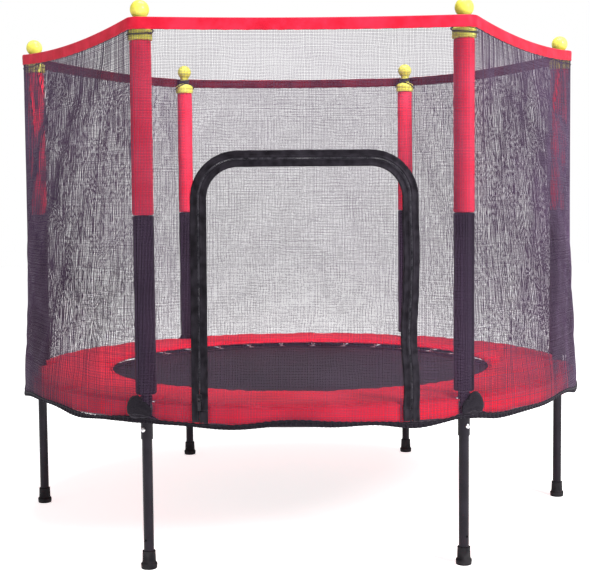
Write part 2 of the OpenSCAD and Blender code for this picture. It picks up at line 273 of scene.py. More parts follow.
def run_tree(piece, tree, **inputs):
    """Runs a tree on the piece with inputs set by their socket's identifier, and keeps the plain mesh."""
    modifier = piece.modifiers.new("tree", "NODES")
    modifier.node_group = tree
    for item in tree.interface.items_tree:
        if item.item_type == "SOCKET" and item.in_out == "INPUT" and item.name in inputs:
            modifier[item.identifier] = inputs[item.name]
    bpy.context.view_layer.update()
    evaluated = piece.evaluated_get(bpy.context.evaluated_depsgraph_get())
    result = bpy.data.meshes.new_from_object(evaluated)
    piece.modifiers.clear()
    old = piece.data
    piece.data = result
    bpy.data.meshes.remove(old)
    return piece


def new_tree(name, **sockets):
    """A geometry tree with a Geometry input and output and the named inputs, each of a kind."""
    tree = bpy.data.node_groups.new(name, "GeometryNodeTree")
    for label, kind in {"Geometry": "Geometry", **sockets}.items():
        tree.interface.new_socket(label, in_out="INPUT", socket_type=f"NodeSocket{kind}")
    tree.interface.new_socket("Geometry", in_out="OUTPUT", socket_type="NodeSocketGeometry")
    return tree, tree.nodes.new("NodeGroupInput"), tree.nodes.new("NodeGroupOutput")


def add(tree, kind, **links):
    """A geometry node, with its inputs as in node_of."""
    return node_of(tree, f"GeometryNode{kind}", **links)


def dressed_piece(tree, into, out, shape):
    """Ends a tree: the shape is made real, given the tree's Finish and sent out."""
    real = add(tree, "RealizeInstances", Geometry=shape)
    dressed = add(tree, "SetMaterial", Geometry=real.outputs[0], Material=into.outputs["Finish"])
    tree.links.new(dressed.outputs[0], out.inputs[0])


# Round wire or bead along each line.
wire_tree, into, out = new_tree("round_wire", Radius="Float", Sides="Int", Finish="Material")
line = add(wire_tree, "MeshToCurve", Mesh=into.outputs["Geometry"])
ring = add(
    wire_tree, "CurvePrimitiveCircle",
    Resolution=into.outputs["Sides"], Radius=into.outputs["Radius"],
)
skin = add(wire_tree, "CurveToMesh", Curve=line.outputs[0], Profile_Curve=ring.outputs[0], Fill_Caps=True)
dressed_piece(wire_tree, into, out, skin.outputs[0])


def round_wire(name, lines, radius, material, sides=8):
    """One piece of round wire along the lines."""
    piece = run_tree(line_set(name, lines), wire_tree, Radius=radius, Sides=sides, Finish=material)
    piece.data.polygons.foreach_set("use_smooth", [True] * len(piece.data.polygons))
    return piece


# The rippled weld beads on both sides of each socket, where it meets the ring's tubes.
TUBE_R, SOCKET_R, BEAD_R, BEAD_STEPS = 0.0125, 0.0131, 0.0016, 96
RING_Z = 0.330
for i in POSTS:
    foot, outward, along = post_frame(i)
    beads = []
    for way in (-1, 1):
        bead = []
        for k in range(BEAD_STEPS):
            a = tau * k / BEAD_STEPS
            reach = sqrt(SOCKET_R**2 - (TUBE_R * cos(a)) ** 2 + 1e-9)
            ripple = 1 + 0.04 * sin(24 * a)
            bead.append(
                foot
                + along * way * (reach + 0.0004) * ripple
                + outward * TUBE_R * cos(a)
                + Vector((0, 0, RING_Z + TUBE_R * sin(a)))
            )
        beads.append((bead, True))
    weld = round_wire(f"socket_weld_{i}", beads, BEAD_R, frame_paint)
    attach(weld, "frame")

# ---------------------------------------------------------------- leg screws
# One zinc-plated pan-head screw through each socket and leg, driven in from outside.
# The head is pressed with a cross recess.

zinc, tree, shader = finish("zinc_plate", (0.62, 0.62, 0.64), 0.3, Metallic=1.0)
rough_range(tree, shader, object_noise(tree, 900, 4), 0.2, 0.4)
two_tone(tree, shader, object_noise(tree, 240), (0.52, 0.52, 0.55), (0.72, 0.71, 0.70))
bump(tree, shader, object_noise(tree, 2500, 2), 0.0001, 0.3)


def turned(outline, segments=40):
    """Points and faces of a solid turned about Z; the outline is (radius, height) from pole to pole."""
    points = [
        polar(radius, tau * k / segments, height) for radius, height in outline for k in range(segments)
    ]
    last = (len(outline) - 1) * segments
    caps = [tuple(range(segments - 1, -1, -1)), tuple(range(last, last + segments))]
    return points, grid_faces(len(outline), segments, closed=True) + caps


HEAD_R, HEAD_H, HEAD_SIDES, SEAT_R, SEAT_Z = 0.0055, 0.0034, 32, 0.0132, 0.3015
RECESS_ROWS, RECESS_D = (0.62, 0.45, 0.2), 0.0014
screw_points, screw_faces = [], []
for i in POSTS:
    foot, outward, along = post_frame(i)
    seat = foot + outward * SEAT_R + Vector((0, 0, SEAT_Z))
    turn = Matrix((along, Vector((0, 0, 1)), outward)).transposed()
    head = [(HEAD_R, 0.0), (HEAD_R * 1.02, 0.0008)]
    head += [
        (HEAD_R * cos(a), 0.0010 + (HEAD_H - 0.0010) * sin(a))
        for a in (radians(d) for d in range(10, 76, 13))
    ]
    points, faces = turned(head, HEAD_SIDES)
    crown = len(head) - 1
    for row in RECESS_ROWS:
        for k in range(HEAD_SIDES):
            a = tau * k / HEAD_SIDES
            arm = max(abs(cos(a)), abs(sin(a)))
            cut = RECESS_D * min(1.0, max(0.0, (arm - 0.80) / 0.12)) if row < 0.6 else 0.0
            cut = RECESS_D if row == RECESS_ROWS[-1] else cut
            points.append(
                Vector((HEAD_R * row * cos(a) * 0.55, HEAD_R * row * sin(a) * 0.55, HEAD_H - cut))
            )
    faces[-1:] = grid_faces(len(RECESS_ROWS) + 1, HEAD_SIDES, closed=True, first=crown * HEAD_SIDES)
    last = (crown + len(RECESS_ROWS)) * HEAD_SIDES
    faces.append(tuple(range(last, last + HEAD_SIDES)))
    first = len(screw_points)
    screw_points += [seat + turn @ p for p in points]
    screw_faces += [tuple(first + f for f in face) for face in faces]
screw_heads = new_piece("screw_heads", screw_points, screw_faces, zinc)
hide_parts("leg_screws")
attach(screw_heads, "frame")

# ---------------------------------------------------------------- feet
# Soft black rubber cups pushed on the leg ends, with a wide lower step and a narrow upper one.
# They are moulded, so every edge is rounded and a parting line runs up each side.

foot_rubber, tree, shader = finish("foot_rubber", (0.014, 0.014, 0.015), 0.6)
two_tone(tree, shader, object_noise(tree, 60, 5), (0.009, 0.009, 0.010), (0.024, 0.023, 0.024))
rough_range(tree, shader, object_noise(tree, 150, 4), 0.45, 0.7)
bump(tree, shader, object_noise(tree, 1500, 3), 0.0002, 0.5)


def rounded(corners, steps=4):
    """An outline with each (radius, height, fillet) corner rounded by its fillet."""
    result = []
    count = len(corners)
    for k, (r, z, fillet) in enumerate(corners):
        here = Vector((r, z))
        if fillet == 0 or k in (0, count - 1):
            result.append((r, z))
            continue
        before = (Vector(corners[k - 1][:2]) - here).normalized() * fillet
        after = (Vector(corners[k + 1][:2]) - here).normalized() * fillet
        for step in range(steps + 1):
            t = step / steps
            p = here + before * (1 - t) ** 2 + after * t**2
            result.append((p.x, p.y))
    return result


FOOT_OUTLINE = rounded([
    (0.0005, 0.0, 0), (0.0168, 0.0, 0.0015), (0.0176, 0.0115, 0.0018), (0.0146, 0.0140, 0.0012),
    (0.0138, 0.0368, 0.0), (0.0142, 0.0378, 0.0006), (0.0136, 0.0390, 0.0008), (0.0113, 0.0388, 0.0),
    (0.0112, 0.0330, 0.0),
])
FOOT_SIDES, FOOT_SKIN_R, PARTING_PROUD = 56, 0.0125, 0.00025
for i in POSTS:
    foot = post_frame(i)[0]
    points, faces = turned(FOOT_OUTLINE, FOOT_SIDES)
    for p in points:
        a = atan2(p.y, p.x)
        seam = exp(-((sin(a) / 0.05) ** 2)) * PARTING_PROUD
        if p.xy.length > FOOT_SKIN_R:
            p.xy *= 1 + seam / p.xy.length
    cup = new_piece(f"foot_cup_{i}", [foot + p for p in points], faces, foot_rubber)
    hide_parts(f"foot_{i}")
    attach(cup, "frame")

# ---------------------------------------------------------------- foam sleeves
# Closed-cell foam tube in a thin shiny skin, slit down one side and slipped over each pole.
# The lower sleeve is black and the upper one is red; handling leaves shallow dents.


def foam_skin(name, low, high):
    """Foam skin: colour drifts slowly, and fine crinkles run round the tube."""
    material, tree, shader = finish(name, low, 0.42, Sheen_Weight=0.08, Sheen_Roughness=0.4)
    two_tone(tree, shader, object_noise(tree, 14, 5), low, high)
    rough_range(tree, shader, object_noise(tree, 45, 4), 0.34, 0.52)
    bump(tree, shader, object_noise(tree, 130, 4, (1, 1, 3.0)), 0.0012, 0.35)
    bump(tree, shader, object_noise(tree, 1800, 2), 0.0002, 0.3)
    return material


foam_black = foam_skin("foam_black", (0.005, 0.004, 0.006), (0.013, 0.011, 0.015))
foam_red = foam_skin("foam_red", (0.86, 0.024, 0.060), (0.95, 0.052, 0.105))


FOAM_R, FOAM_BORE, FOAM_ROWS, FOAM_SIDES = 0.0222, 0.0112, 46, 44
DENT, SLIT = 0.0005, 0.0012


def sleeve(name, node, material, seed):
    """A dented foam tube in the place of a plain one, with a closed slit that faces the mat."""
    low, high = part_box(node)
    centre = (low + high) / 2
    inward = atan2(-centre.y, -centre.x)
    height = high.z - low.z
    rim = [(FOAM_BORE, 0.004), (FOAM_BORE + 0.002, 0.0006), (FOAM_R - 0.004, 0.0), (FOAM_R - 0.001, 0.0012)]
    outline = rim + [(FOAM_R, 0.004 + (height - 0.008) * k / FOAM_ROWS) for k in range(FOAM_ROWS + 1)]
    outline += [(radius, height - z) for radius, z in reversed(rim)]
    points, faces = turned(outline, FOAM_SIDES)
    for p in points:
        if p.xy.length < FOAM_R - 0.0045:
            continue
        a = atan2(p.y, p.x)
        probe = Vector((cos(a) * 1.3, sin(a) * 1.3, p.z * 7 + seed * 9.1))
        dent = DENT * noise.noise(probe) + 0.6 * DENT * noise.noise(probe * 2.7)
        slit = exp(-(((a - inward + pi) % (tau) - pi) / 0.05) ** 2)
        p.xy *= 1 + (dent - SLIT * slit) / p.xy.length
    place = Vector((centre.x, centre.y, low.z))
    tube = new_piece(name, [place + p for p in points], faces, material)
    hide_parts(node)
    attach(tube, "frame")
    return tube


for i in POSTS:
    sleeve(f"foam_sleeve_black_{i}", f"foam_lower_{i}", foam_black, i)
    sleeve(f"foam_sleeve_red_{i}", f"foam_upper_{i}", foam_red, i + 10)

# ---------------------------------------------------------------- pole caps
# Blow-moulded lemon yellow caps: a collar over the foam, a short neck and a hollow ball.
# They are glossy, a little translucent, and carry the mould's parting line.

cap_yellow, tree, shader = finish(
    "cap_yellow", (0.80, 0.74, 0.12), 0.28,
    Coat_Weight=0.25, Coat_Roughness=0.12, Subsurface_Weight=0.25,
    Subsurface_Radius=(0.010, 0.009, 0.003), Subsurface_Scale=0.5,
)
two_tone(tree, shader, object_noise(tree, 35, 3), (0.74, 0.66, 0.09), (0.85, 0.80, 0.16))
rough_range(tree, shader, object_noise(tree, 120, 4), 0.2, 0.38)
bump(tree, shader, object_noise(tree, 260, 3), 0.0004, 0.25)

COLLAR_R, NECK_R, BALL_R, BALL_Z, CAP_H = 0.0258, 0.0118, 0.0200, 0.0635, 0.0835
BALL_STEPS, CAP_SIDES = 26, 64
for i in POSTS:
    low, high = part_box(f"pole_cap_{i}")
    base = high.z - CAP_H
    outline = rounded([
        (0.0098, -0.030, 0), (0.0098, -0.0006, 0.0), (COLLAR_R - 0.0022, -0.0001, 0.0008),
        (COLLAR_R, 0.0006, 0.0010), (COLLAR_R, 0.0088, 0.0005), (COLLAR_R - 0.0005, 0.0096, 0.0004),
        (COLLAR_R - 0.0005, 0.0106, 0.0004), (COLLAR_R, 0.0114, 0.0005), (COLLAR_R, 0.0202, 0.0030),
        (NECK_R + 0.0008, 0.0285, 0.0030), (NECK_R, 0.0420, 0.0020),
    ])
    start = acos((NECK_R + 0.0006) / BALL_R)
    outline += [
        (max(0.0002, BALL_R * cos(a)), BALL_Z + BALL_R * sin(a))
        for a in (-start + (pi / 2 + start) * k / BALL_STEPS for k in range(BALL_STEPS + 1))
    ]
    points, faces = turned(outline, CAP_SIDES)
    for p in points:
        if p.xy.length > NECK_R * 0.9 and p.z > 0:
            a = atan2(p.y, p.x) + i
            p.xy *= 1 + 0.00018 * exp(-((sin(a) / 0.03) ** 2)) / p.xy.length
    centre = (low + high) / 2
    cap = new_piece(
        f"ball_cap_{i}", [Vector((centre.x, centre.y, base)) + p for p in points], faces, cap_yellow
    )
    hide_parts(f"pole_cap_{i}")
    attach(cap, "frame")

# ---------------------------------------------------------------- jumping mat
# A disc of tightly woven black polypropylene that hangs a little lower in the middle. It is built at
# rest: the rim's three tenths share of a loaded bowl, with the links' share, only sets how far the links
# rise outside the rim.

MAT_R, RIM_R, MAT_Z, MAT_SAG, MAT_T = 0.515, 0.502, 0.3400, 0.0085, 0.0012
LINK_TIP_R = 0.5553
RIM_SHARE, LINK_SHARE = 0.3, 0.2


def unease(share):
    """The place from 0 to 1 at which a smooth step reaches a share."""
    return 0.5 - sin(asin(1 - 2 * share) / 3)


BOWL_DEPTH = MAT_SAG / (1 - unease(RIM_SHARE))


def mat_height(radius):
    """Height of the mat's middle plane, and outside the rim that of the links."""
    if radius <= RIM_R:
        return MAT_Z - MAT_SAG * (1 - (radius / RIM_R) ** 2)
    rise = BOWL_DEPTH * (unease(RIM_SHARE) - unease(LINK_SHARE))
    return MAT_Z + rise * (radius - RIM_R) / (LINK_TIP_R - RIM_R)


def ring_strip(name, radii, segments, material):
    """A flat ring, or a disc if the first radius is 0, on the mat's middle plane."""
    points = [polar(r, tau * k / segments, mat_height(r)) for r in radii for k in range(segments)]
    return new_piece(name, points, grid_faces(len(radii), segments, closed=True), material)


def thicken(piece, thickness, rounding=0.0):
    """Gives a flat sheet its thickness, equally on both sides, and rounds its edges."""
    wall = piece.modifiers.new("thickness", "SOLIDIFY")
    wall.thickness = thickness
    wall.offset = 0
    if rounding:
        edge = piece.modifiers.new("rounding", "BEVEL")
        edge.width = rounding
        edge.segments = 3
        edge.limit_method = "ANGLE"


def waves(tree, pitch, direction):
    """Parallel ridges on the piece's own coordinates, one every pitch metres."""
    place = node_of(tree, "ShaderNodeTexCoord")
    ridge = node_of(tree, "ShaderNodeTexWave", Scale=pi / 10 / pitch, Vector=place.outputs["Object"])
    ridge.bands_direction = direction
    return ridge.outputs["Fac"]


def combine(tree, operation, first, second):
    """One of the Math node's operations on two sockets or numbers."""
    node = tree.nodes.new("ShaderNodeMath")
    node.operation = operation
    for socket, value in zip(node.inputs, (first, second)):
        if isinstance(value, bpy.types.NodeSocket):
            tree.links.new(value, socket)
        else:
            socket.default_value = value
    return node.outputs[0]


def woven(tree, pitch, second="Y"):
    """Two sets of ridges that cross, along X and a second way."""
    return combine(tree, "MULTIPLY", waves(tree, pitch, "X"), waves(tree, pitch, second))


mat_weave, tree, shader = finish(
    "mat_weave", (0.035, 0.030, 0.036), 0.5,
    Sheen_Weight=0.06, Sheen_Roughness=0.4,
)
weave = woven(tree, 0.0026)
tint = combine(tree, "ADD", combine(tree, "MULTIPLY", weave, 0.35), object_noise(tree, 7, 6))
two_tone(tree, shader, tint, (0.005, 0.004, 0.005), (0.018, 0.014, 0.018), 0.45, 0.85)
rough_range(tree, shader, weave, 0.38, 0.62)
bump(tree, shader, weave, 0.0006, 0.7)
bump(tree, shader, object_noise(tree, 20, 3), 0.002, 0.25)

MAT_RINGS, MAT_RING_W, MAT_SIDES = 32, 0.016, 144
mat_radii = [MAT_RING_W * k for k in range(MAT_RINGS)] + [RIM_R, MAT_R]
woven_mat = ring_strip("woven_mat", mat_radii, MAT_SIDES, mat_weave)
thicken(woven_mat, MAT_T)
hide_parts("jump_mat")
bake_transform(woven_mat)

# ---------------------------------------------------------------- mat edge
# Black polyester webbing folded over the mat's rim and sewn down with two rows of thick thread.
# A short bar of stitches at each side of every link holds the load.

EDGE_IN_R, EDGE_OUT_R, EDGE_T = 0.5005, 0.528, 0.0046
STITCH_PROUD = 0.0005
SPRINGS = 36


def webbing(name, low, high):
    """Flat woven webbing: fine ribs, a dull sheen and a slow change of shade."""
    material, tree, shader = finish(name, low, 0.62, Sheen_Weight=0.1, Sheen_Roughness=0.5)
    ribs = woven(tree, 0.0021)
    tint = combine(tree, "ADD", combine(tree, "MULTIPLY", ribs, 0.3), object_noise(tree, 18, 5))
    two_tone(tree, shader, tint, low, high, 0.4, 0.85)
    rough_range(tree, shader, ribs, 0.5, 0.75)
    bump(tree, shader, ribs, 0.0005, 0.6)
    return material


webbing_black = webbing("webbing_black", (0.010, 0.009, 0.011), (0.030, 0.026, 0.031))
thread_black, tree, shader = finish("sewing_thread_black", (0.05, 0.045, 0.05), 0.45)
two_tone(tree, shader, object_noise(tree, 700, 2), (0.03, 0.027, 0.03), (0.09, 0.08, 0.09))

EDGE_RADII, EDGE_SIDES = (EDGE_IN_R, 0.507, 0.514, 0.521, EDGE_OUT_R), 360
edge = ring_strip("mat_edge_webbing", EDGE_RADII, EDGE_SIDES, webbing_black)
thicken(edge, EDGE_T, 0.0012)
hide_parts("mat_edge")
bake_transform(edge)


def stitch_tree(name, bead_kind, **bead_inputs):
    """A tree that sews one bead at every step along each line, flat against the way it faces."""
    tree, into, out = new_tree(name, Step="Float", Size="Vector", Finish="Material")
    line = add(tree, "MeshToCurve", Mesh=into.outputs["Geometry"])
    steps = add(tree, "CurveToPoints", Curve=line.outputs[0])
    steps.mode = "LENGTH"
    tree.links.new(into.outputs["Step"], steps.inputs["Length"])
    facing = add(tree, "InputNamedAttribute", Name="facing")
    facing.data_type = "FLOAT_VECTOR"
    along = node_of(tree, "FunctionNodeAlignRotationToVector", Vector=steps.outputs["Tangent"])
    along.axis = "X"
    flat = node_of(
        tree, "FunctionNodeAlignRotationToVector",
        Rotation=along.outputs[0], Vector=facing.outputs["Attribute"],
    )
    flat.axis, flat.pivot_axis = "Z", "X"
    bead = add(tree, bead_kind, **bead_inputs)
    sewn = add(
        tree, "InstanceOnPoints", Points=steps.outputs["Points"], Instance=bead.outputs[0],
        Rotation=flat.outputs[0], Scale=into.outputs["Size"],
    )
    dressed_piece(tree, into, out, sewn.outputs[0])
    return tree


through_stitch = stitch_tree(
    "through_stitch", "MeshGrid", Size_X=1.0, Size_Y=1.0, Vertices_X=2, Vertices_Y=2
)
UP = Vector((0, 0, 1))
ROW_STEPS, ROW_RADII = 720, (0.505, 0.5175)
BAR_ENDS, BAR_OFF = (0.506, 0.526), 0.010 / 0.52
seams = []
for row_r in ROW_RADII:
    row = [polar(row_r, tau * k / ROW_STEPS, mat_height(row_r)) for k in range(ROW_STEPS)]
    seams.append((row, True))
for k in range(SPRINGS):
    for side in (-1, 1):
        a = (k + 0.5) * tau / SPRINGS + side * BAR_OFF
        seams.append(([polar(r, a, mat_height(r)) for r in BAR_ENDS], False))
normals = [[UP] * len(line) for line, closed in seams]
edge_stitches = run_tree(
    line_set("mat_edge_stitches", seams, normals), through_stitch,
    Step=0.0048, Size=(0.0034, 0.0009, 1.0), Finish=thread_black,
)
thicken(edge_stitches, EDGE_T + 2 * STITCH_PROUD)
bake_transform(edge_stitches)

# ---------------------------------------------------------------- links
# Triangles of bent steel wire, zinc plated. The long side is sewn into the mat's edge and the
# spring's hook takes the tip.

LINK_WIRE, LINK_BAR_R, LINK_HALF_W, LINK_BEND = 0.0024, 0.5212, 0.0150, 0.0030


def rounded_loop(corners, radius, steps=5):
    """A closed flat outline with each corner turned into an arc-like bend."""
    loop = []
    for k, corner in enumerate(corners):
        here = Vector(corner)
        before = (Vector(corners[k - 1]) - here).normalized() * radius
        after = (Vector(corners[(k + 1) % len(corners)]) - here).normalized() * radius
        for step in range(steps + 1):
            t = step / steps
            loop.append(here + before * (1 - t) ** 2 + after * t**2)
    return loop


triangle = rounded_loop(
    [(LINK_BAR_R, -LINK_HALF_W), (LINK_TIP_R + 0.0020, 0.0), (LINK_BAR_R, LINK_HALF_W)], LINK_BEND
)
points, faces = [], []
for k in range(SPRINGS):
    a = (k + 0.5) * tau / SPRINGS
    turn = Matrix.Rotation(a, 2)
    first = len(points)
    for number, here in enumerate(triangle):
        way = (triangle[(number + 1) % len(triangle)] - triangle[number - 1]).normalized()
        side = Vector((way.y, -way.x)) * LINK_WIRE / 2
        for p in (here - side, here + side):
            points.append((*(turn @ p), mat_height(p.length)))
    count = 2 * len(triangle)
    faces += [
        tuple(first + (2 * number + c) % count for c in (0, 1, 3, 2)) for number in range(len(triangle))
    ]
links = new_piece("wire_links", points, faces, zinc)
thicken(links, LINK_WIRE, 0.0007)
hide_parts("mat_links")
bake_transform(links)

# ---------------------------------------------------------------- springs
# Close-wound zinc-plated tension springs. Each has a round hook on its link and a long hook that
# drops into a hole in the ring. Three neighbours make one piece.

COIL_R, SPRING_WIRE, TURNS, TURN_STEPS = 0.0049, 0.0011, 36, 10
AXIS_Z, HOOK_R, HOOK_AT = 0.3470, 0.0055, 0.5585
BARREL_IN, BARREL_OUT, DROP_R, DROP_BEND, DROP_Z = 0.5645, 0.6480, 0.6720, 0.0040, 0.3365
GROUP, HOOK_STEPS, DROP_STEPS = 3, 18, 4


def spring_path(angle):
    """Centre line of one spring: hook, barrel, shank and drop hook."""
    path = []
    for k in range(HOOK_STEPS + 1):
        a = radians(-40 - 230 * k / HOOK_STEPS)
        path.append(Vector((HOOK_AT + HOOK_R * cos(a), 0, AXIS_Z - HOOK_R + HOOK_R * sin(a))))
    steps = TURNS * TURN_STEPS
    for k in range(steps + 1):
        a = tau * k / TURN_STEPS
        radius = COIL_R * min(1, k / (TURN_STEPS / 2), (steps - k) / (TURN_STEPS / 2))
        x = BARREL_IN + (BARREL_OUT - BARREL_IN) * k / steps
        path.append(Vector((x, radius * cos(a), AXIS_Z + radius * sin(a))))
    for k in range(DROP_STEPS + 1):
        a = radians(90 - 90 / DROP_STEPS * k)
        corner = Vector((DROP_R - DROP_BEND, 0, AXIS_Z - DROP_BEND))
        path.append(corner + DROP_BEND * Vector((cos(a), 0, sin(a))))
    path.append(Vector((DROP_R, 0, DROP_Z)))
    turn = Matrix.Rotation(angle, 3, "Z")
    return [turn @ p for p in path]


for group in range(SPRINGS // GROUP):
    angles = [(group * GROUP + k + 0.5) * tau / SPRINGS for k in range(GROUP)]
    coils = round_wire(
        f"spring_group_{group + 1}", [(spring_path(a), False) for a in angles], SPRING_WIRE, zinc, 5
    )
    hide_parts("springs")
    out_way = polar(1, angles[1])
    taut_r = LINK_TIP_R - 0.0015
    reach = (BARREL_OUT - 0.010 - taut_r) / unease(LINK_SHARE)
    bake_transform(coils)

# ---------------------------------------------------------------- safety pad
# A flat ring of soft foam in a satin-coated red cover, sewn from six lengths. It lies on the springs,
# and a U-shaped slot lets each pole through. The rims are bound, and the cover puckers along the
# inner one.

PAD_IN_R, PAD_OUT_R, SLOT_R, POST_CIRCLE_R = 0.487, 0.6935, 0.0225, 0.675
PAD_LOW, PAD_HIGH, PAD_SEAM_Z = 0.3545, 0.3660, 0.3595
PAD_COLUMNS, PAD_ROWS = 456, 20
SLOT_MOUTH_BLEND, SLOT_DEEP, SLOT_STEPS, RIM_STEPS, HALF_SLOT_WALK = 9, 0.0185, 5, 180, 0.0567
PAD_SWELL = 0.0048


def pad_outline():
    """The pad's outer edge: arcs of the rim joined by the slots, with their mouths rounded."""
    mouth = asin(SLOT_R / PAD_OUT_R)
    coarse = []
    for i in POSTS:
        turn = Matrix.Rotation((i - 1) * pi / 3, 2)
        slot_walk = [(PAD_OUT_R - SLOT_DEEP * k / SLOT_STEPS, -SLOT_R) for k in range(SLOT_STEPS)]
        slot_walk += [
            (POST_CIRCLE_R - SLOT_R * sin(a), -SLOT_R * cos(a))
            for a in (pi * k / 18 for k in range(19))
        ]
        slot_walk += [(radius, SLOT_R) for radius, _ in reversed(slot_walk[:SLOT_STEPS])]
        coarse += [turn @ Vector(p) for p in slot_walk]
        for k in range(1, RIM_STEPS):
            a = (i - 1) * pi / 3 + mouth + (pi / 3 - 2 * mouth) * k / RIM_STEPS
            coarse.append(polar(PAD_OUT_R, a).xy)
    line = np.array(coarse)
    for _ in range(SLOT_MOUTH_BLEND):
        line = 0.25 * np.roll(line, 1, 0) + 0.5 * line + 0.25 * np.roll(line, -1, 0)
    return line


def even_steps(line, count):
    """count points at equal steps along a closed line."""
    closed = np.vstack([line, line[:1]])
    run = np.concatenate([[0], np.cumsum(np.linalg.norm(np.diff(closed, axis=0), axis=1))])
    at = np.linspace(0, run[-1], count, endpoint=False)
    return np.stack([np.interp(at, run, closed[:, c]) for c in range(closed.shape[1])], 1)


outer = even_steps(pad_outline(), PAD_COLUMNS)
# The first point is on the side of the first slot, so the inner edge starts at that slot's share
# of a turn.
half_slot = PAD_COLUMNS * HALF_SLOT_WALK / (tau * PAD_OUT_R)
inner_angles = tau * (np.arange(PAD_COLUMNS) - half_slot) / PAD_COLUMNS
inner = PAD_IN_R * np.stack([np.cos(inner_angles), np.sin(inner_angles)], 1)


def pad_shell():
    """Closed shell: a top and a bottom sheet that share the seams along the inner and the outer edge."""
    points, faces = [], []
    for row in range(PAD_ROWS + 1):
        v = row / PAD_ROWS
        swell = (1 - abs(2 * v - 1) ** 6) ** 0.5
        for side in (1, -1):
            z = PAD_SEAM_Z + side * swell * PAD_SWELL
            flat = inner * (1 - v) + outer * v
            points += [(x, y, z) for x, y in flat]
    for row in range(PAD_ROWS):
        for layer in (0, 1):
            base = (2 * row + layer) * PAD_COLUMNS
            above = base + 2 * PAD_COLUMNS
            for k in range(PAD_COLUMNS):
                n = (k + 1) % PAD_COLUMNS
                quad = (base + k, base + n, above + n, above + k)
                faces.append(quad if layer else quad[::-1])
    return points, faces


pad_red, tree, shader = finish(
    "pad_red", (0.85, 0.010, 0.030), 0.36,
    Sheen_Weight=0.02, Sheen_Roughness=0.3, Coat_Weight=0.06, Coat_Roughness=0.3,
)
satin = woven(tree, 0.0009)
two_tone(tree, shader, object_noise(tree, 9, 6), (0.78, 0.006, 0.024), (0.92, 0.016, 0.046))
rough_range(tree, shader, object_noise(tree, 40, 4), 0.30, 0.46)
bump(tree, shader, satin, 0.0002, 0.4)
bump(tree, shader, object_noise(tree, 55, 4), 0.0022, 0.35)

points, faces = pad_shell()
pad = new_piece("pad_cover", points, faces, pad_red)
rest = np.array([v.co for v in pad.data.vertices])
seam = pad.vertex_groups.new(name="seam")
seam.add([k for k, p in enumerate(rest) if abs(p[2] - PAD_SEAM_Z) < 1e-5], 1.0, "REPLACE")

PUFF_CAP, PUFF_FRAMES, PRESSURE = 0.0042, 20, 4
cloth = pad.modifiers.new("puff", "CLOTH")
cloth.settings.use_pressure = True
cloth.settings.uniform_pressure_force = PRESSURE
cloth.settings.shrink_min = -0.05
cloth.settings.effector_weights.gravity = 0
cloth.settings.vertex_group_mass = "seam"
cloth.settings.bending_stiffness = 0.6
cloth.point_cache.frame_start, cloth.point_cache.frame_end = 1, PUFF_FRAMES
for step in range(1, PUFF_FRAMES + 1):
    scene.frame_set(step)
puffed = pad.evaluated_get(bpy.context.evaluated_depsgraph_get()).to_mesh()
moved = np.array([v.co for v in puffed.vertices]) - rest
pad.to_mesh_clear()
pad.modifiers.clear()
scene.frame_set(1)
far = np.linalg.norm(moved, axis=1, keepdims=True)
moved *= np.minimum(1, PUFF_CAP / np.maximum(far, 1e-9))
settled = rest + moved

# Puckers run out from the inner rim, the cover billows a little, and a sewn groove crosses the pad
# from each slot to the inner edge.
turn_at = np.arctan2(settled[:, 1], settled[:, 0])
reach = np.hypot(settled[:, 0], settled[:, 1])
lift = (settled[:, 2] - PAD_SEAM_Z) / 0.005
rim_in = np.exp(-(((reach - PAD_IN_R) - 0.018) / 0.016) ** 2)
pucker = (
    0.0009 * np.sin(97 * turn_at + 2 * np.sin(5 * turn_at))
    + 0.0007 * np.sin(61 * turn_at + 1.7 * np.sin(3 * turn_at + 1))
) * rim_in
from_middle = reach - 0.59
billow = 0.0008 * np.sin(14 * turn_at + 9 * from_middle) + 0.0006 * np.sin(23 * turn_at - 22 * from_middle)
billow *= np.clip(lift, 0, 1)
across = np.abs((turn_at + pi / 6) % (pi / 3) - pi / 6) * reach
groove = 0.0022 * np.exp(-((across / 0.0035) ** 2)) * (reach < POST_CIRCLE_R - SLOT_R - 0.004)
settled[:, 2] += pucker + billow - np.sign(lift) * groove * np.minimum(1, np.abs(lift))
settled[:, 2] = np.clip(settled[:, 2], PAD_LOW, PAD_HIGH + 0.0015)
pad.data.vertices.foreach_set("co", settled.astype(np.float32).ravel())
pad.vertex_groups.clear()
smooth = pad.modifiers.new("smooth", "SUBSURF")
smooth.levels = smooth.render_levels = 1
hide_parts("safety_pad")
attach(pad, "frame")

# ---------------------------------------------------------------- pad binding and skirt
# A narrow folded tape binds both edges of the pad. Below the outer edge a loose skirt of the same
# cloth hangs over the ring between the poles, with a turned and stitched hem.

BINDING_R, SKIRT_T = 0.0019, 0.0009
SKIRT_TOP, SKIRT_DROP, SKIRT_ROWS, SKIRT_STEPS = 0.3600, 0.0350, 12, 150

binding_lines = []
for edge_line in (inner, outer):
    sway = [0.0004 * sin(k * 0.9) for k in range(PAD_COLUMNS)]
    binding_lines.append(([(x, y, PAD_SEAM_Z + sway[k]) for k, (x, y) in enumerate(edge_line)], True))
binding = round_wire("pad_binding", binding_lines, BINDING_R, pad_red, 10)
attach(binding, "frame")

round_stitch = stitch_tree("round_stitch", "MeshUVSphere", Segments=6, Rings=4, Radius=0.5)
thread_red, tree, shader = finish("sewing_thread_red", (0.45, 0.01, 0.03), 0.4)
two_tone(tree, shader, object_noise(tree, 700, 2), (0.34, 0.006, 0.02), (0.56, 0.03, 0.05))


STITCH_SIZE = (0.0032, 0.0007, 0.0006)


def sew(name, seams, normals, thread, step=0.0045):
    """A row of raised stitches along each line."""
    lines = line_set(name, seams, normals)
    return run_tree(lines, round_stitch, Step=step, Size=STITCH_SIZE, Finish=thread)


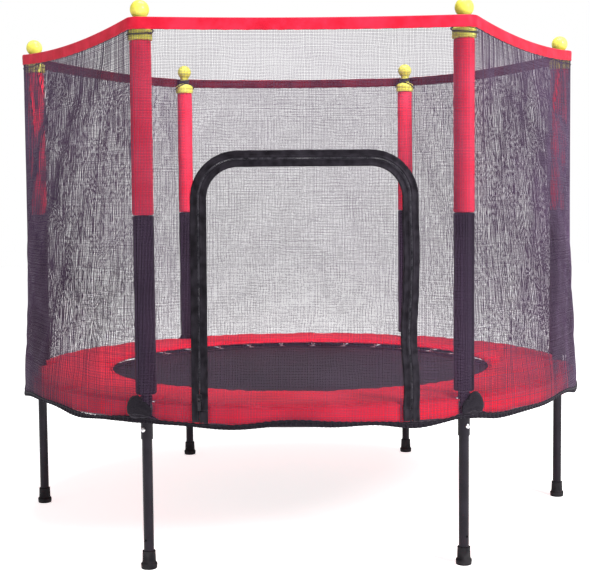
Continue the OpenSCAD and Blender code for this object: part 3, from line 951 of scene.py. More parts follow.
SKIRT_CLEAR = asin((SLOT_R + 0.006) / PAD_OUT_R)
SKIRT_SPAN = pi / 3 - 2 * SKIRT_CLEAR
points, faces, hem_seams, hem_normals = [], [], [], []
for i in POSTS:
    start = (i - 1) * pi / 3 + SKIRT_CLEAR
    first = len(points)
    hem_line = []
    for row in range(SKIRT_ROWS + 1):
        v = row / SKIRT_ROWS
        for k in range(SKIRT_STEPS + 1):
            a = start + SKIRT_SPAN * k / SKIRT_STEPS
            fold = 0.0011 * sin(41 * a + 3 * sin(7 * a)) + 0.0007 * sin(83 * a + i)
            corner = min(1.0, min(k, SKIRT_STEPS - k) / 5)
            radius = PAD_OUT_R - 0.0008 + (0.0012 + fold) * v
            z = SKIRT_TOP - SKIRT_DROP * v * (0.75 + 0.25 * corner) + 0.0012 * v * sin(29 * a + i)
            points.append(polar(radius, a, z))
            if row == SKIRT_ROWS - 1:
                hem_line.append(polar(radius + SKIRT_T * 0.7, a, z - 0.0008))
    hem_seams.append((hem_line, False))
    hem_normals.append([Vector((p[0], p[1], 0)).normalized() for p in hem_line])
    faces += grid_faces(SKIRT_ROWS + 1, SKIRT_STEPS + 1, first=first)
skirt = new_piece("pad_skirt", points, faces, pad_red)
thicken(skirt, SKIRT_T)
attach(skirt, "frame")
RIM_ROW_IN, RIM_ROW_STEPS = 0.0085, 1200
for edge_line, shift in ((inner, RIM_ROW_IN), (outer, -RIM_ROW_IN)):
    ring_line = even_steps(edge_line, RIM_ROW_STEPS)
    way = np.roll(ring_line, -1, 0) - np.roll(ring_line, 1, 0)
    normal = np.stack([way[:, 1], -way[:, 0]], 1) / np.linalg.norm(way, axis=1, keepdims=True)
    row_line = ring_line + normal * shift
    hem_seams.append(([(x, y, PAD_HIGH - 0.0012) for x, y in row_line], True))
    hem_normals.append([UP] * len(row_line))
stitches = sew("pad_stitches", hem_seams, hem_normals, thread_red)
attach(stitches, "frame")

# ---------------------------------------------------------------- safety net
# Fine black polyester net, knitted with about three holes to the centimetre, which looks lilac-grey
# where the light falls on it. Six widths hang from the top band and end in a gathered hem.

NET_R, NET_GAP, NET_FLAT, NET_CORNER_X = 0.702, 0.027, 0.58457, 0.3375
NET_ROUND_TOP, BAND_LOW, NET_LOW, NET_TOP = 0.352, 1.139, 0.3343, 1.1585
NET_HALF_X = 0.3505
THREAD_W, THREAD_T, NET_PITCH = 0.00043, 0.00078, 0.0031
NET_STEP, NET_OFF, HEM_Z, CREASE_HALF_W = 0.021, 0.0006, 0.3290, 0.006
THREAD_GAP = 0.0005
ZIP_X, ZIP_TOP, ZIP_CORNER, DOOR_LOW = 0.218, 0.868, 0.081, 0.353
BAND_SAG = {1: 0.010, 2: 0.004, 3: 0.008, 4: 0.014, 5: 0.004, 6: 0.014}


def net_distance(x, z):
    """Distance of the net's inner face from the middle, square to a side."""
    t = np.clip((z - NET_ROUND_TOP) / (BAND_LOW - NET_ROUND_TOP), 0, 1)
    low = np.sqrt(NET_R**2 - x**2)
    high = NET_FLAT + np.sqrt(NET_GAP**2 - np.maximum(np.abs(x) - NET_CORNER_X, 0) ** 2)
    return low * (1 - t) + high * t


def ease(value, start, end):
    """A smooth step from 0 at start to 1 at end."""
    t = np.clip((value - start) / (end - start), 0, 1)
    return t * t * (3 - 2 * t)


def hem_height(side, x):
    """Height of the elastic at the net's foot: slack between the poles, but held up at the middle."""
    slack = 0.0058 * np.cos(tau * x / 0.45) + 0.0018 * np.sin(31 * x + 1.3 * side)
    return HEM_Z + slack * (1 - ease(np.abs(x), 0.29, 0.35))


def beside_zip(x, z):
    """Distance to the zip's line in the middle of its tapes, negative inside the doorway."""
    px, pz = np.abs(x) - (ZIP_X - ZIP_CORNER), z - (ZIP_TOP - ZIP_CORNER)
    return np.where((px > 0) & (pz > 0), np.hypot(px, pz), np.maximum(px, pz)) - ZIP_CORNER


# Waves of the net, each with its height, its turns along and across in radians per metre, and its
# shift from side to side: the slack pushes the net out, and single threads stray sideways.
SLACK_WAVES = [(0.0021, 27, 17, 1.9), (0.0015, -19, 43, 2.3), (0.0010, 61, 29, 0.7), (0.0006, -40, 90, 1.1)]
STRAY_WAVES = [(0.0011, 23, 9, 1.3), (0.0007, 57, -31, 2.7), (0.0004, 131, 67, 0.9)]


def wave_sum(rows, u, v, side, shift=0.0):
    """Height of all the waves together at a place."""
    return sum(height * np.sin(a * u + b * v + c * side + shift) for height, a, b, c in rows)


def net_relief(side, x, z):
    """How far slack and creases push the net out."""
    calm = ease(z, 1.14, 1.02) * ease(np.abs(x), 0.345, 0.25) * ease(z, 0.345, 0.42)
    if side == 5:
        calm = calm * ease(np.abs(beside_zip(x, z)), 0.012, 0.09)
    relief = wave_sum(SLACK_WAVES, x, z, side) * calm
    for cx, cz, lean, length, height in NET_CREASES.get(side, ()):
        dx, dz = x - cx, z - cz
        run = dx * cos(lean) + dz * sin(lean)
        off = -dx * sin(lean) + dz * cos(lean)
        ends = np.exp(-((run / length) ** 4))
        relief = relief + height * ends * np.exp(-((off / CREASE_HALF_W) ** 2))
    return relief


# Creases that the tension draws in a side: middle x and z, lean, half length and height.
NET_CREASES = {
    1: [(-0.24, 1.05, -0.9, 0.08, 0.004)],
    3: [(0.22, 1.06, 1.0, 0.07, 0.004)],
    4: [(0.17, 1.06, 0.85, 0.09, 0.005), (0.26, 1.03, 1.15, 0.07, 0.004)],
    6: [(-0.20, 1.05, -1.0, 0.08, 0.004), (0.27, 0.46, 2.2, 0.06, 0.003)],
}


def on_side(side, x, y, z):
    """Points on a side of the hexagon, brought into the frame."""
    a = radians((side - 0.5) * 60 - 90)
    return np.stack([x * cos(a) - y * sin(a), x * sin(a) + y * cos(a), z], -1)


def net_drift(side, across, along, shift):
    """How far a thread strays sideways on its way, nothing at the zip, the poles, the hem and the top."""
    x, z = (across, along) if shift == 0.0 else (along, across)
    calm = ease(np.abs(x), 0.348, 0.315) * ease(z, 0.345, 0.39) * ease(z, 1.14, 1.10)
    if side == 5:
        calm = calm * ease(np.abs(beside_zip(x, z)), 0.018, 0.06)
    return wave_sum(STRAY_WAVES, along, across, side, shift) * calm


def net_points(side, x, z, off=NET_OFF):
    """Places and normals on the net of one side, with its slack, its sag and its foot."""
    step = 1e-4

    def place(px, pz):
        px, pz = px + net_drift(side, px, pz, 0.0), pz + net_drift(side, pz, px, 2.0)
        y = net_distance(px, pz) + net_relief(side, px, pz) + off
        middle_share = 1 - np.minimum(1, (np.abs(px) / NET_CORNER_X) ** 2)
        sunk = pz - BAND_SAG[side] * middle_share * ease(pz, 0.88, NET_TOP)
        foot = hem_height(side, px)
        share = np.clip((pz - NET_LOW) / (NET_ROUND_TOP - NET_LOW), 0, 1)
        sunk = np.where(pz < NET_ROUND_TOP, foot + (NET_ROUND_TOP - foot) * share, sunk)
        return on_side(side, px, y, sunk)

    here = place(x, z)
    across = place(x + step, z) - place(x - step, z)
    upward = place(x, z + step) - place(x, z - step)
    normal = np.cross(upward, across)
    normal *= np.sign((normal * here * [1, 1, 0]).sum(-1, keepdims=True))
    return here, normal / np.linalg.norm(normal, axis=-1, keepdims=True)


net_mesh, tree, shader = finish(
    "net_mesh", (0.062, 0.035, 0.075), 0.5,
    Sheen_Weight=0.22, Sheen_Roughness=0.35, Sheen_Tint=(0.9, 0.8, 1.0, 1),
)
two_tone(tree, shader, object_noise(tree, 4, 4), (0.046, 0.028, 0.054), (0.078, 0.048, 0.090))
rough_range(tree, shader, object_noise(tree, 12, 3), 0.4, 0.55)

# Thread of a four-sided section along each line; its thickness lies the way the net faces.
thread_tree, into, out = new_tree("net_thread", Width="Float", Thickness="Float", Finish="Material")
line = add(thread_tree, "MeshToCurve", Mesh=into.outputs["Geometry"])
facing = add(thread_tree, "InputNamedAttribute", Name="facing")
facing.data_type = "FLOAT_VECTOR"
steered = add(thread_tree, "SetCurveNormal", Curve=line.outputs[0])
steered.mode = "FREE"
thread_tree.links.new(facing.outputs["Attribute"], steered.inputs["Normal"])
section = add(
    thread_tree, "CurvePrimitiveQuadrilateral",
    Width=into.outputs["Thickness"], Height=into.outputs["Width"],
)
skin = add(
    thread_tree, "CurveToMesh", Curve=steered.outputs[0], Profile_Curve=section.outputs[0], Fill_Caps=True
)
dressed_piece(thread_tree, into, out, skin.outputs[0])


def net_piece(name, side, columns, courses):
    """Real threads: columns are upright (x, lowest z, highest z) and courses level (z, first x, last x)."""
    lines, normals = [], []
    for threads, upright in ((columns, True), (courses, False)):
        for fixed, first, last in threads:
            run = np.linspace(first, last, max(2, int((last - first) / NET_STEP) + 1))
            held = np.full_like(run, fixed)
            places, ways = net_points(side, *((held, run) if upright else (run, held)))
            lines.append((places, False))
            normals.append(ways)
    return run_tree(
        line_set(name, lines, normals), thread_tree, Width=THREAD_W, Thickness=THREAD_T, Finish=net_mesh
    )


def spaced(first, last, pitch):
    """Evenly spaced values with about this pitch, both ends included."""
    return np.linspace(first, last, int(round((last - first) / pitch)) + 1)


NET_COLUMNS = spaced(-NET_HALF_X, NET_HALF_X, NET_PITCH)[:-1]
NET_COURSES = spaced(NET_LOW, NET_TOP, NET_PITCH)
EVEN_STRAY, LOOSE_STRAY = 0.10, 0.24
knitting = np.random.default_rng(7)


def uneven(places, share=EVEN_STRAY):
    """Knitted threads never lie quite evenly; the first and last stay where they are."""
    strays = knitting.normal(0, share * NET_PITCH, len(places))
    strays[0] = strays[-1] = 0
    return places + strays


SIDE_NODE = {1: "net_right", 2: "net_back", 3: "net_left", 4: "net_left", 6: "net_right"}
for side, node in SIDE_NODE.items():
    stray = EVEN_STRAY if side == 2 else LOOSE_STRAY
    panel = net_piece(
        f"net_side_{side}", side,
        [(x, NET_LOW, NET_TOP) for x in uneven(NET_COLUMNS, stray)],
        [(z, -NET_HALF_X, NET_HALF_X) for z in uneven(NET_COURSES, stray)],
    )
    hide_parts(node)
    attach(panel, "frame")

# The front width has the doorway cut out of it; its threads end under the middle of the zip's tape.
TAPE_HOLD = 0.008


def doorway_span(value, grow, axis):
    """How far a thread at x, or a course at z, runs in the doorway grown by grow; None if it misses."""
    half, top, r = ZIP_X + grow, ZIP_TOP + grow, ZIP_CORNER + grow
    own, other = (half - r, top - r) if axis == "x" else (top - r, half - r)
    over = (abs(value) if axis == "x" else value) - own
    if over >= r:
        return None
    return other + (sqrt(r**2 - over**2) if over > 0 else r)


FRONT_COLUMNS, FRONT_COURSES = uneven(NET_COLUMNS), uneven(NET_COURSES)
columns, courses = [], []
for x in FRONT_COLUMNS:
    top_z = doorway_span(x, TAPE_HOLD, "x")
    if top_z is None:
        columns.append((x, NET_LOW, NET_TOP))
    else:
        columns += [(x, NET_LOW, DOOR_LOW - THREAD_GAP), (x, top_z, NET_TOP)]
for z in FRONT_COURSES:
    side_x = doorway_span(z, TAPE_HOLD, "z")
    if side_x is None or z < DOOR_LOW:
        courses.append((z, -NET_HALF_X, NET_HALF_X))
    else:
        courses += [(z, -NET_HALF_X, -side_x), (z, side_x, NET_HALF_X)]
front = net_piece("net_side_5", 5, columns, courses)
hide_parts("net_front")
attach(front, "frame")

# The door is the same net inside the zip. At its foot it is one with the wall.
columns, courses = [], []
for x in FRONT_COLUMNS:
    top_z = doorway_span(x, -TAPE_HOLD, "x")
    if top_z is not None:
        columns.append((x, DOOR_LOW - THREAD_GAP, top_z))
for z in FRONT_COURSES:
    side_x = doorway_span(z, -TAPE_HOLD, "z")
    if side_x is not None and z >= DOOR_LOW:
        courses.append((z, -side_x, side_x))
door = net_piece("door_panel", 5, columns, courses)
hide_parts("door_net")
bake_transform(door)

# ---------------------------------------------------------------- top band
# Red satin tape folded over the top edge of the net and stitched through near its lower edge. Its
# inner leg carries a darker copy of the red as painted shade. The weight of the net lets it sag between the
# poles.

BAND_Z, BAND_HALF, BAND_SHEET_T = 1.1490, 0.0123, 0.0010
BAND_FOLD_R, BAND_MID = 0.00135, 0.02800
CORNER_STEPS, SPAN_STEPS, STATION_STEP = 8, 72, 0.0093


def band_line(off):
    """Stations round the hexagon at a distance off from the poles' line: place, outward way, sag."""
    stations = []
    for side in range(1, 7):
        lie = radians((side - 0.5) * 60 - 90)
        turn = Matrix.Rotation(lie, 3, "Z")
        for k in range(SPAN_STEPS + 1):
            x = (1 - 2 * k / SPAN_STEPS) * NET_CORNER_X
            sag = BAND_SAG[side] * (1 - (x / NET_CORNER_X) ** 2)
            stations.append((turn @ Vector((x, NET_FLAT + off, 0)), turn @ Vector((0, 1, 0)), sag))
        centre = turn @ Vector((-NET_CORNER_X, NET_FLAT, 0))
        for k in range(1, CORNER_STEPS):
            a = lie + pi / 2 + pi / 3 * k / CORNER_STEPS
            way = polar(1, a)
            stations.append((centre + way * off, way, 0.0))
    return stations


band_red, tree, shader = finish(
    "band_red", (0.72, 0.018, 0.045), 0.38,
    Sheen_Weight=0.2, Sheen_Roughness=0.3, Sheen_Tint=(1.0, 0.55, 0.65, 1),
)
two_tone(tree, shader, object_noise(tree, 30, 5), (0.46, 0.010, 0.026), (0.62, 0.022, 0.050))
rough_range(tree, shader, object_noise(tree, 60, 4), 0.3, 0.5)
bump(tree, shader, waves(tree, 0.0011, "Z"), 0.00012, 0.5)

# Painted shade: a dark copy of the band's red for the tape's inner leg.
band_inner_painted_shade, tree, shader = finish("band_inner_painted_shade", (0.10, 0.006, 0.012), 0.55)
two_tone(tree, shader, object_noise(tree, 30, 5), (0.07, 0.004, 0.009), (0.14, 0.009, 0.017))
rough_range(tree, shader, object_noise(tree, 60, 4), 0.45, 0.65)

leg_rows = [-1, -0.86, -0.70, -0.45, -0.15, 0.15, 0.45, 0.70, 0.86]
section_line = [(BAND_FOLD_R, h * BAND_HALF) for h in leg_rows]
section_line += [
    (BAND_FOLD_R * cos(a), BAND_HALF - BAND_FOLD_R + BAND_FOLD_R * sin(a))
    for a in (0, pi / 4, pi / 2, 3 * pi / 4, pi)
]
section_line += [(-BAND_FOLD_R, h * BAND_HALF) for h in reversed(leg_rows)]
stations = band_line(0)
points, sewn_line, sewn_normal = [], [], []
for k, (place, way, sag) in enumerate(stations):
    travel = k * STATION_STEP
    for off, height in section_line:
        low = max(0.0, -height / BAND_HALF)
        pucker = 0.00045 * sin(travel * 330 + 2 * sin(travel * 41)) * (0.4 + low)
        billow = 0.0004 * sin(travel * 57 + height * 160) + 0.0003
        push = (pucker + billow) * (1 if off > 0 else -0.4) * (1 - abs(height / BAND_HALF) ** 6)
        scallop = 0.0005 * sin(travel * 165 + 1.2 * sin(travel * 23)) * low
        z = BAND_Z - sag + height + scallop
        points.append(place + way * (BAND_MID + off + push) + Vector((0, 0, z)))
    seam = place + way * (BAND_MID + BAND_FOLD_R + BAND_SHEET_T / 2 + 0.0003)
    sewn_line.append(seam + Vector((0, 0, BAND_Z - sag - 0.78 * BAND_HALF)))
    sewn_normal.append(way)
rows, count = len(section_line), len(stations)
faces = grid_faces(count, rows, joined=True)
band = new_piece("top_band_tape", points, faces, band_red)
# Faces on the inner leg get the darker red of painted shade.
band.data.materials.append(band_inner_painted_shade)
band.data.polygons.foreach_set(
    "material_index", [1 if number % (rows - 1) > len(leg_rows) + 2 else 0 for number in range(len(faces))]
)
thicken(band, BAND_SHEET_T)
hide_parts("top_band")
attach(band, "frame")
band_stitches = sew("band_stitches", [(sewn_line, True)], [sewn_normal], thread_red, 0.0042)
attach(band_stitches, "frame")

# ---------------------------------------------------------------- neck loops
# Black covered elastic, wound three times round the neck of each cap and knotted to the net's edge.
# One lazy turn slips down over the collar.

LOOP_R, LOOP_Z, LOOP_MAJOR, LOOP_TURNS, LOOP_STEPS = 0.0015, 1.1515, 0.0139, 3, 24
KNOT_STEPS, SLIPPED_STEPS, SLIPPED_R, SLIPPED_Z = 40, 48, 0.0280, 1.1330
elastic, tree, shader = finish("covered_elastic", (0.02, 0.018, 0.021), 0.5, Sheen_Weight=0.1)
two_tone(tree, shader, waves(tree, 0.0016, "DIAGONAL"), (0.012, 0.011, 0.013), (0.045, 0.040, 0.046))
rough_range(tree, shader, object_noise(tree, 300, 3), 0.4, 0.65)
bump(tree, shader, waves(tree, 0.0008, "DIAGONAL"), 0.0002, 0.6)

cords = []
for i in POSTS:
    axis, outward, along = post_frame(i)
    knot = axis + outward * (BAND_MID - 0.0045) + Vector((0, 0, LOOP_Z - 0.001))
    winding = [knot]
    for k in range(LOOP_TURNS * LOOP_STEPS + 1):
        a = tau * k / LOOP_STEPS
        tilt = 0.0012 * sin(a + i)
        z = LOOP_Z - 0.0045 + 0.0031 * k / LOOP_STEPS + tilt
        reach = LOOP_MAJOR + 0.0004 * sin(3 * a + i)
        winding.append(axis + (outward * cos(a) + along * sin(a)) * reach + Vector((0, 0, z)))
    winding.append(knot + Vector((0, 0, 0.003)))
    cords.append((winding, False))
    knot_line = []
    for k in range(KNOT_STEPS):
        a = tau * k / KNOT_STEPS
        reach = 0.0027 + 0.0012 * cos(3 * a)
        knot_line.append(
            knot + outward * 0.0014 * sin(3 * a)
            + along * reach * cos(2 * a) + Vector((0, 0, reach * sin(2 * a)))
        )
    cords.append((knot_line, True))
    slipped = []
    for k in range(SLIPPED_STEPS):
        a = tau * k / SLIPPED_STEPS
        slope = 0.5 - 0.5 * cos(a)
        reach = SLIPPED_R - max(0.0, slope - 0.75) * 0.050
        z = SLIPPED_Z + 0.0125 * max(0.0, slope - 0.55) / 0.45 - 0.0060 * (1 - slope)
        slipped.append(axis + (outward * cos(a) + along * sin(a)) * reach + Vector((0, 0, z)))
    cords.append((slipped, True))
loops = round_wire("neck_elastic", cords, LOOP_R, elastic, 10)
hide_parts("neck_loops")
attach(loops, "frame")

# ---------------------------------------------------------------- net hem
# The net's foot is gathered on an elastic cord, and the spare net hangs under it in a narrow frill.
# At each leg it is bunched up, tied down and left as two dark lobes.

HEM_R, HEM_PROUD, FRILL_DROP, FRILL_T, FRILL_STEP = 0.0023, 0.0006, 0.0105, 0.0009, 0.0016
HEM_STEPS, FRILL_ROWS = 449, 4
hem_dark, tree, shader = finish(
    "gathered_net", (0.022, 0.019, 0.024), 0.6,
    Sheen_Weight=0.1, Sheen_Tint=(0.9, 0.82, 1.0, 1),
)
two_tone(tree, shader, object_noise(tree, 420, 4), (0.002, 0.0016, 0.0025), (0.014, 0.012, 0.016))
rough_range(tree, shader, object_noise(tree, 200, 4), 0.45, 0.75)
bump(tree, shader, object_noise(tree, 900, 3), 0.0006, 0.8)

hem_line, frill_points = [], []
for side in range(1, 7):
    corner_x = NET_R * sin(pi / 6)
    xs = np.linspace(corner_x, -corner_x, HEM_STEPS + 1)[:-1]
    places, ways = net_points(side, xs, np.full_like(xs, NET_LOW), HEM_PROUD)
    for k, place in enumerate(places):
        out_way = Vector((place[0], place[1], 0)).normalized()
        run = (side * HEM_STEPS + k) * FRILL_STEP
        ruffle = 0.5 * sin(run * 640 + 2.2 * sin(run * 47)) + 0.3 * sin(run * 1130 + side)
        here = Vector(place)
        hem_line.append(here + out_way * 0.0007 * ruffle + Vector((0, 0, 0.0005 * sin(run * 410))))
        drop = FRILL_DROP * (0.8 + 0.25 * sin(run * 23 + 1.7 * sin(run * 9)))
        for row in range(FRILL_ROWS + 1):
            v = row / FRILL_ROWS
            flare = out_way * (0.0026 * v * ruffle + 0.0012 * v)
            frill_points.append(here + flare - Vector((0, 0, drop * v)))
faces = grid_faces(len(hem_line), FRILL_ROWS + 1, joined=True)
hem_cord = round_wire("hem_elastic", [(hem_line, True)], HEM_R, hem_dark, 8)
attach(hem_cord, "frame")
frill = new_piece("hem_frill", frill_points, faces, hem_dark)
thicken(frill, FRILL_T)
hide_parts("net_hem")
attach(frill, "frame")

# A lobe is a closed bag of bunched net: fat in the middle, pleated lengthwise, drawn in at its ends.
LOBE_RINGS, LOBE_SIDES, LOBE_Z, SMALL_LOBE, LARGE_LOBE = 16, 40, 0.3310, 0.0165, 0.0225
points, faces = [], []
for i in POSTS:
    outward = post_frame(i)[1]
    large = 1 if i in (1, 2, 6) else -1
    for way, size, tall in ((-large, 1.0 - 0.12 * sin(i * 2.1), SMALL_LOBE), (large, 1.0, LARGE_LOBE)):
        first = len(points)
        for ring in range(LOBE_RINGS + 1):
            u = ring / LOBE_RINGS
            fat = sqrt(1 - abs(1.96 * u - 0.98) ** 3)
            a = way * (0.062 * size * u - 0.020)
            base = Matrix.Rotation(a, 3, "Z") @ (outward * (NET_R + 0.0032))
            bend = LOBE_Z + 0.95 * tall + 0.004 * sin(pi * u) - 0.25 * tall * u
            lie = base.normalized()
            for k in range(LOBE_SIDES):
                b = tau * k / LOBE_SIDES
                pleat = 1 + 0.16 * sin(7 * b + 3 * u + i) + 0.08 * sin(13 * b - 5 * u)
                flat_r, tall_r = 0.0026 * fat * pleat, tall * fat * pleat * (1.05 - 0.25 * u)
                points.append(base + lie * flat_r * cos(b) + Vector((0, 0, bend + tall_r * sin(b))))
        faces += grid_faces(LOBE_RINGS + 1, LOBE_SIDES, closed=True, first=first)
        last = first + LOBE_RINGS * LOBE_SIDES
        faces += [tuple(reversed(range(first, first + LOBE_SIDES))), tuple(range(last, last + LOBE_SIDES))]
lobes = new_piece("gathered_lobes", points, faces, hem_dark)
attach(lobes, "frame")

# ---------------------------------------------------------------- zip tapes and coil
# Black nylon coil zip, 34 mm wide over both tapes, sewn on the net. The wall's half is attached to the
# frame; the door's half, like the door, to no body. The tapes are puckered, and the right one kinks near
# its foot.

TAPE_IN, TAPE_OUT, TAPE_OFF, TAPE_T = 0.0013, 0.0170, 0.0015, 0.0011
SLIDER_LOW, COIL_PITCH, COIL_R = 0.372, 0.0016, 0.00072


# Kinks of the right leg: how far it is pushed inwards, at what height, and over what length.
ZIP_KINKS = [(0.0062, 0.50, 0.07), (0.0024, 0.355, 0.03), (-0.0018, 0.68, 0.05)]


def zip_sway(x, z):
    """Sideways wander of the zip; the leg that the slider runs on stays straight."""
    kink = sum(push * np.exp(-(((z - middle) / spread) ** 2)) for push, middle, spread in ZIP_KINKS)
    return np.where(x < 0, 1.0, 0.0) * kink


def zip_path(off, low, step):
    """Points along the arch at a distance off from the zip's middle, evenly spaced, as x and z."""
    half, top, r = ZIP_X + off, ZIP_TOP + off, ZIP_CORNER + off
    legs = top - r - low
    arc, run = r * pi / 2, 2 * (half - r)
    ends = np.cumsum([0, legs, arc, run, arc, legs])
    s = np.linspace(0, ends[-1], int(round(ends[-1] / step)) + 1)
    a = np.clip((s - ends[1]) / r, 0, pi / 2)
    b = np.clip((s - ends[3]) / r, 0, pi / 2)
    x = half - r + r * np.cos(a) - np.clip(s - ends[2], 0, run) - r * np.sin(b)
    z = low + np.clip(s, 0, legs) + r * np.sin(a) - r * (1 - np.cos(b)) - np.clip(s - ends[4], 0, legs)
    return x, z, s


def on_zip(off, low, step, proud):
    """Places along the zip, proud of the net by a number, or by a function of the way travelled."""
    x, z, s = zip_path(off, low, step)
    lift = proud(s) if callable(proud) else proud
    sway = zip_sway(x, z)
    places, ways = net_points(5, x + sway, np.maximum(z, NET_LOW + 0.0002), 0.0)
    return places + ways * np.reshape(lift, (-1, 1))


def arch_length(off, low):
    """Length of the arch at a distance off from the zip's middle."""
    half, top, r = ZIP_X + off, ZIP_TOP + off, ZIP_CORNER + off
    return 2 * (top - r - low) + pi * r + 2 * (half - r)


zip_black, tree, shader = finish("zip_nylon", (0.009, 0.008, 0.010), 0.28, Sheen_Weight=0.04)
two_tone(tree, shader, object_noise(tree, 55, 5), (0.004, 0.0035, 0.0045), (0.016, 0.014, 0.018))
rough_range(tree, shader, object_noise(tree, 130, 4), 0.22, 0.5)
bump(tree, shader, woven(tree, 0.0014, "Z"), 0.0003, 0.6)

# Across a tape: a piping next to the coil, a hollow, the flat web, and a rounded bound edge.
TAPE_ACROSS = [0, 0.035, 0.10, 0.17, 0.24, 0.31, 0.42, 0.56, 0.70, 0.79, 0.87, 0.94, 1.0]
TAPE_RELIEF = [0, 0.0005, 0.0010, 0.0011, 0.0008, 0.0002, 0.0001, 0.0002, 0.0003, 0.0008, 0.0010, 0.0006, 0]
TAPE_STATIONS = 420


def tape_solid(name, rings):
    """A tape from the lines along its inside face and its outside face, listed across the tape."""
    wide, long = len(rings) // 2, len(rings[0])
    loop = list(range(wide)) + [wide + k for k in reversed(range(wide))]
    points = [Vector(rings[ring][k]) for k in range(long) for ring in loop]
    around = len(loop)
    last = (long - 1) * around
    faces = grid_faces(long, around, closed=True)
    faces += [tuple(reversed(range(around))), tuple(range(last, last + around))]
    return new_piece(name, points, faces, zip_black)


def zip_tape(name, way, low):
    """A tape on one side of the coil: way is 1 on the wall and -1 on the door."""
    rings = []
    for inside in (False, True):
        for share, relief in zip(TAPE_ACROSS, TAPE_RELIEF):
            off = way * (TAPE_IN + (TAPE_OUT - TAPE_IN) * share)

            def lift(s, relief=relief, share=share):
                u = s / s[-1]
                pucker = 0.00035 * np.sin(u * 560 + 5 * np.sin(u * 19) + 2 * way) * sin(pi * share)
                billow = 0.0007 * np.sin(u * 47 + 3 * share + way) * sin(pi * share)
                face = 0.0 if inside else TAPE_T + relief
                leg = ease(u, 0.46, 0.36)
                return TAPE_OFF + face + (0.25 if inside else 1.0) * (pucker + billow + 0.0004) * (1 - leg)

            rings.append(on_zip(off, low, arch_length(off, low) / TAPE_STATIONS, lift)[: TAPE_STATIONS + 1])
    return tape_solid(name, rings)


# One loop of the coil: distances from the zip's middle, and how far each is proud of the tape's back.
TOOTH = [(0.0023, 0.0004), (0.0014, 0.0020), (0.0002, 0.0021), (-0.0009, 0.0011), (-0.0007, 0.0002)]


def zip_coil(name, way, low, shift):
    """One half of the coil: small loops that reach from under the tape to past the middle."""
    count = len(zip_path(way * 0.0021, low, COIL_PITCH)[0])
    strands = [
        on_zip(way * off, low, arch_length(way * off, low) / (count - 1), TAPE_OFF + proud)
        for off, proud in TOOTH
    ]
    lines = [
        ([strand[k] * (1 - shift) + strand[k + 1] * shift for strand in strands], False)
        for k in range(count - 1)
    ]
    return round_wire(name, lines, COIL_R, coil_black, 5)


coil_black, tree, shader = finish("zip_coil_nylon", (0.020, 0.019, 0.022), 0.25)
two_tone(tree, shader, object_noise(tree, 90, 4), (0.010, 0.010, 0.012), (0.045, 0.042, 0.050))
rough_range(tree, shader, object_noise(tree, 300, 3), 0.15, 0.4)

WALL_LOW, DOOR_FOOT = 0.3368, DOOR_LOW
# Under the door's foot, short pieces of tape close the zip's inner half on both legs.
FOOT_GAP, FOOT_OVER, FOOT_STEPS = 0.0003, 0.0004, 8
for leg, label in ((1, "left"), (-1, "right")):
    rings = []
    for inside in (False, True):
        for share, relief in zip(TAPE_ACROSS, TAPE_RELIEF):
            z = np.linspace(WALL_LOW, DOOR_FOOT - FOOT_GAP, FOOT_STEPS)
            x = leg * (ZIP_X + FOOT_OVER - (TAPE_OUT + FOOT_OVER) * share) + np.zeros_like(z)
            places, ways = net_points(5, x + zip_sway(x, z), z, 0.0)
            rings.append(places + ways * (TAPE_OFF + (0.0 if inside else TAPE_T + relief)))
    foot_tape = tape_solid(f"zip_foot_{label}", rings)
    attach(foot_tape, "frame")
for name, way, low, node in (
    ("zip_wall_tape", 1, WALL_LOW, "zip_tape_wall"), ("zip_door_tape", -1, DOOR_FOOT, "zip_tape_door"),
):
    tape = zip_tape(name, way, low)
    coil = zip_coil(name.replace("tape", "coil"), way, low + 0.002, 0.25 + 0.5 * (way < 0))
    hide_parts(node)
    for piece in (tape, coil):
        if way > 0:
            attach(piece, "frame")
        else:
            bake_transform(piece)

# ---------------------------------------------------------------- slider and pull
# A black lacquered slider on the left leg of the zip, and a stirrup pull with cross ribs on its
# grip, which hangs from a pin through the slider's eye. The lacquer is worn lighter in spots.

SLIDER_W, SLIDER_L, PLATE_T, FRONT_Y, BACK_Y = 0.012, 0.015, 0.0016, 0.0045, -0.0032
BRIDGE_W, BRIDGE_L, EYE_W, EYE_L, EYE_H = 0.0016, 0.005, 0.004, 0.008, 0.004
PIN_Z, PIN_OFF, PULL_L, PULL_T, ARM_W, ARM_L, PIN_R = 0.007, 0.0019, 0.026, 0.0014, 0.0012, 0.008, 0.0008

zip_metal, tree, shader = finish(
    "zip_metal", (0.045, 0.043, 0.047), 0.3,
    Metallic=0.85, Specular_IOR_Level=0.5,
)
two_tone(tree, shader, object_noise(tree, 420, 5), (0.028, 0.026, 0.030), (0.075, 0.072, 0.076), 0.50, 0.85)
rough_range(tree, shader, object_noise(tree, 800, 3), 0.22, 0.45)
bump(tree, shader, object_noise(tree, 2600, 3), 0.00012, 0.4)

TRAVEL, HALF_PROBE = 0.395, 0.005
leg_y = float(net_distance(ZIP_X, SLIDER_LOW))
lean = atan((leg_y - float(net_distance(ZIP_X, SLIDER_LOW + TRAVEL))) / TRAVEL)
beside = [float(net_distance(ZIP_X + way * HALF_PROBE, SLIDER_LOW + TRAVEL / 2)) for way in (-1, 1)]
heading = atan((beside[0] - beside[1]) / (2 * HALF_PROBE))
AT_SLIDER = (
    Matrix.Rotation(radians(4.5 * 60 - 90), 4, "Z")
    @ Matrix.Translation((ZIP_X, leg_y, SLIDER_LOW))
    @ Matrix.Rotation(lean, 4, "X")
    @ Matrix.Rotation(-heading, 4, "Z")
)
AT_PIN = (
    AT_SLIDER
    @ Matrix.Translation((0, FRONT_Y + PLATE_T + PIN_OFF, PIN_Z))
    @ Matrix.Rotation(-lean, 4, "X")
)


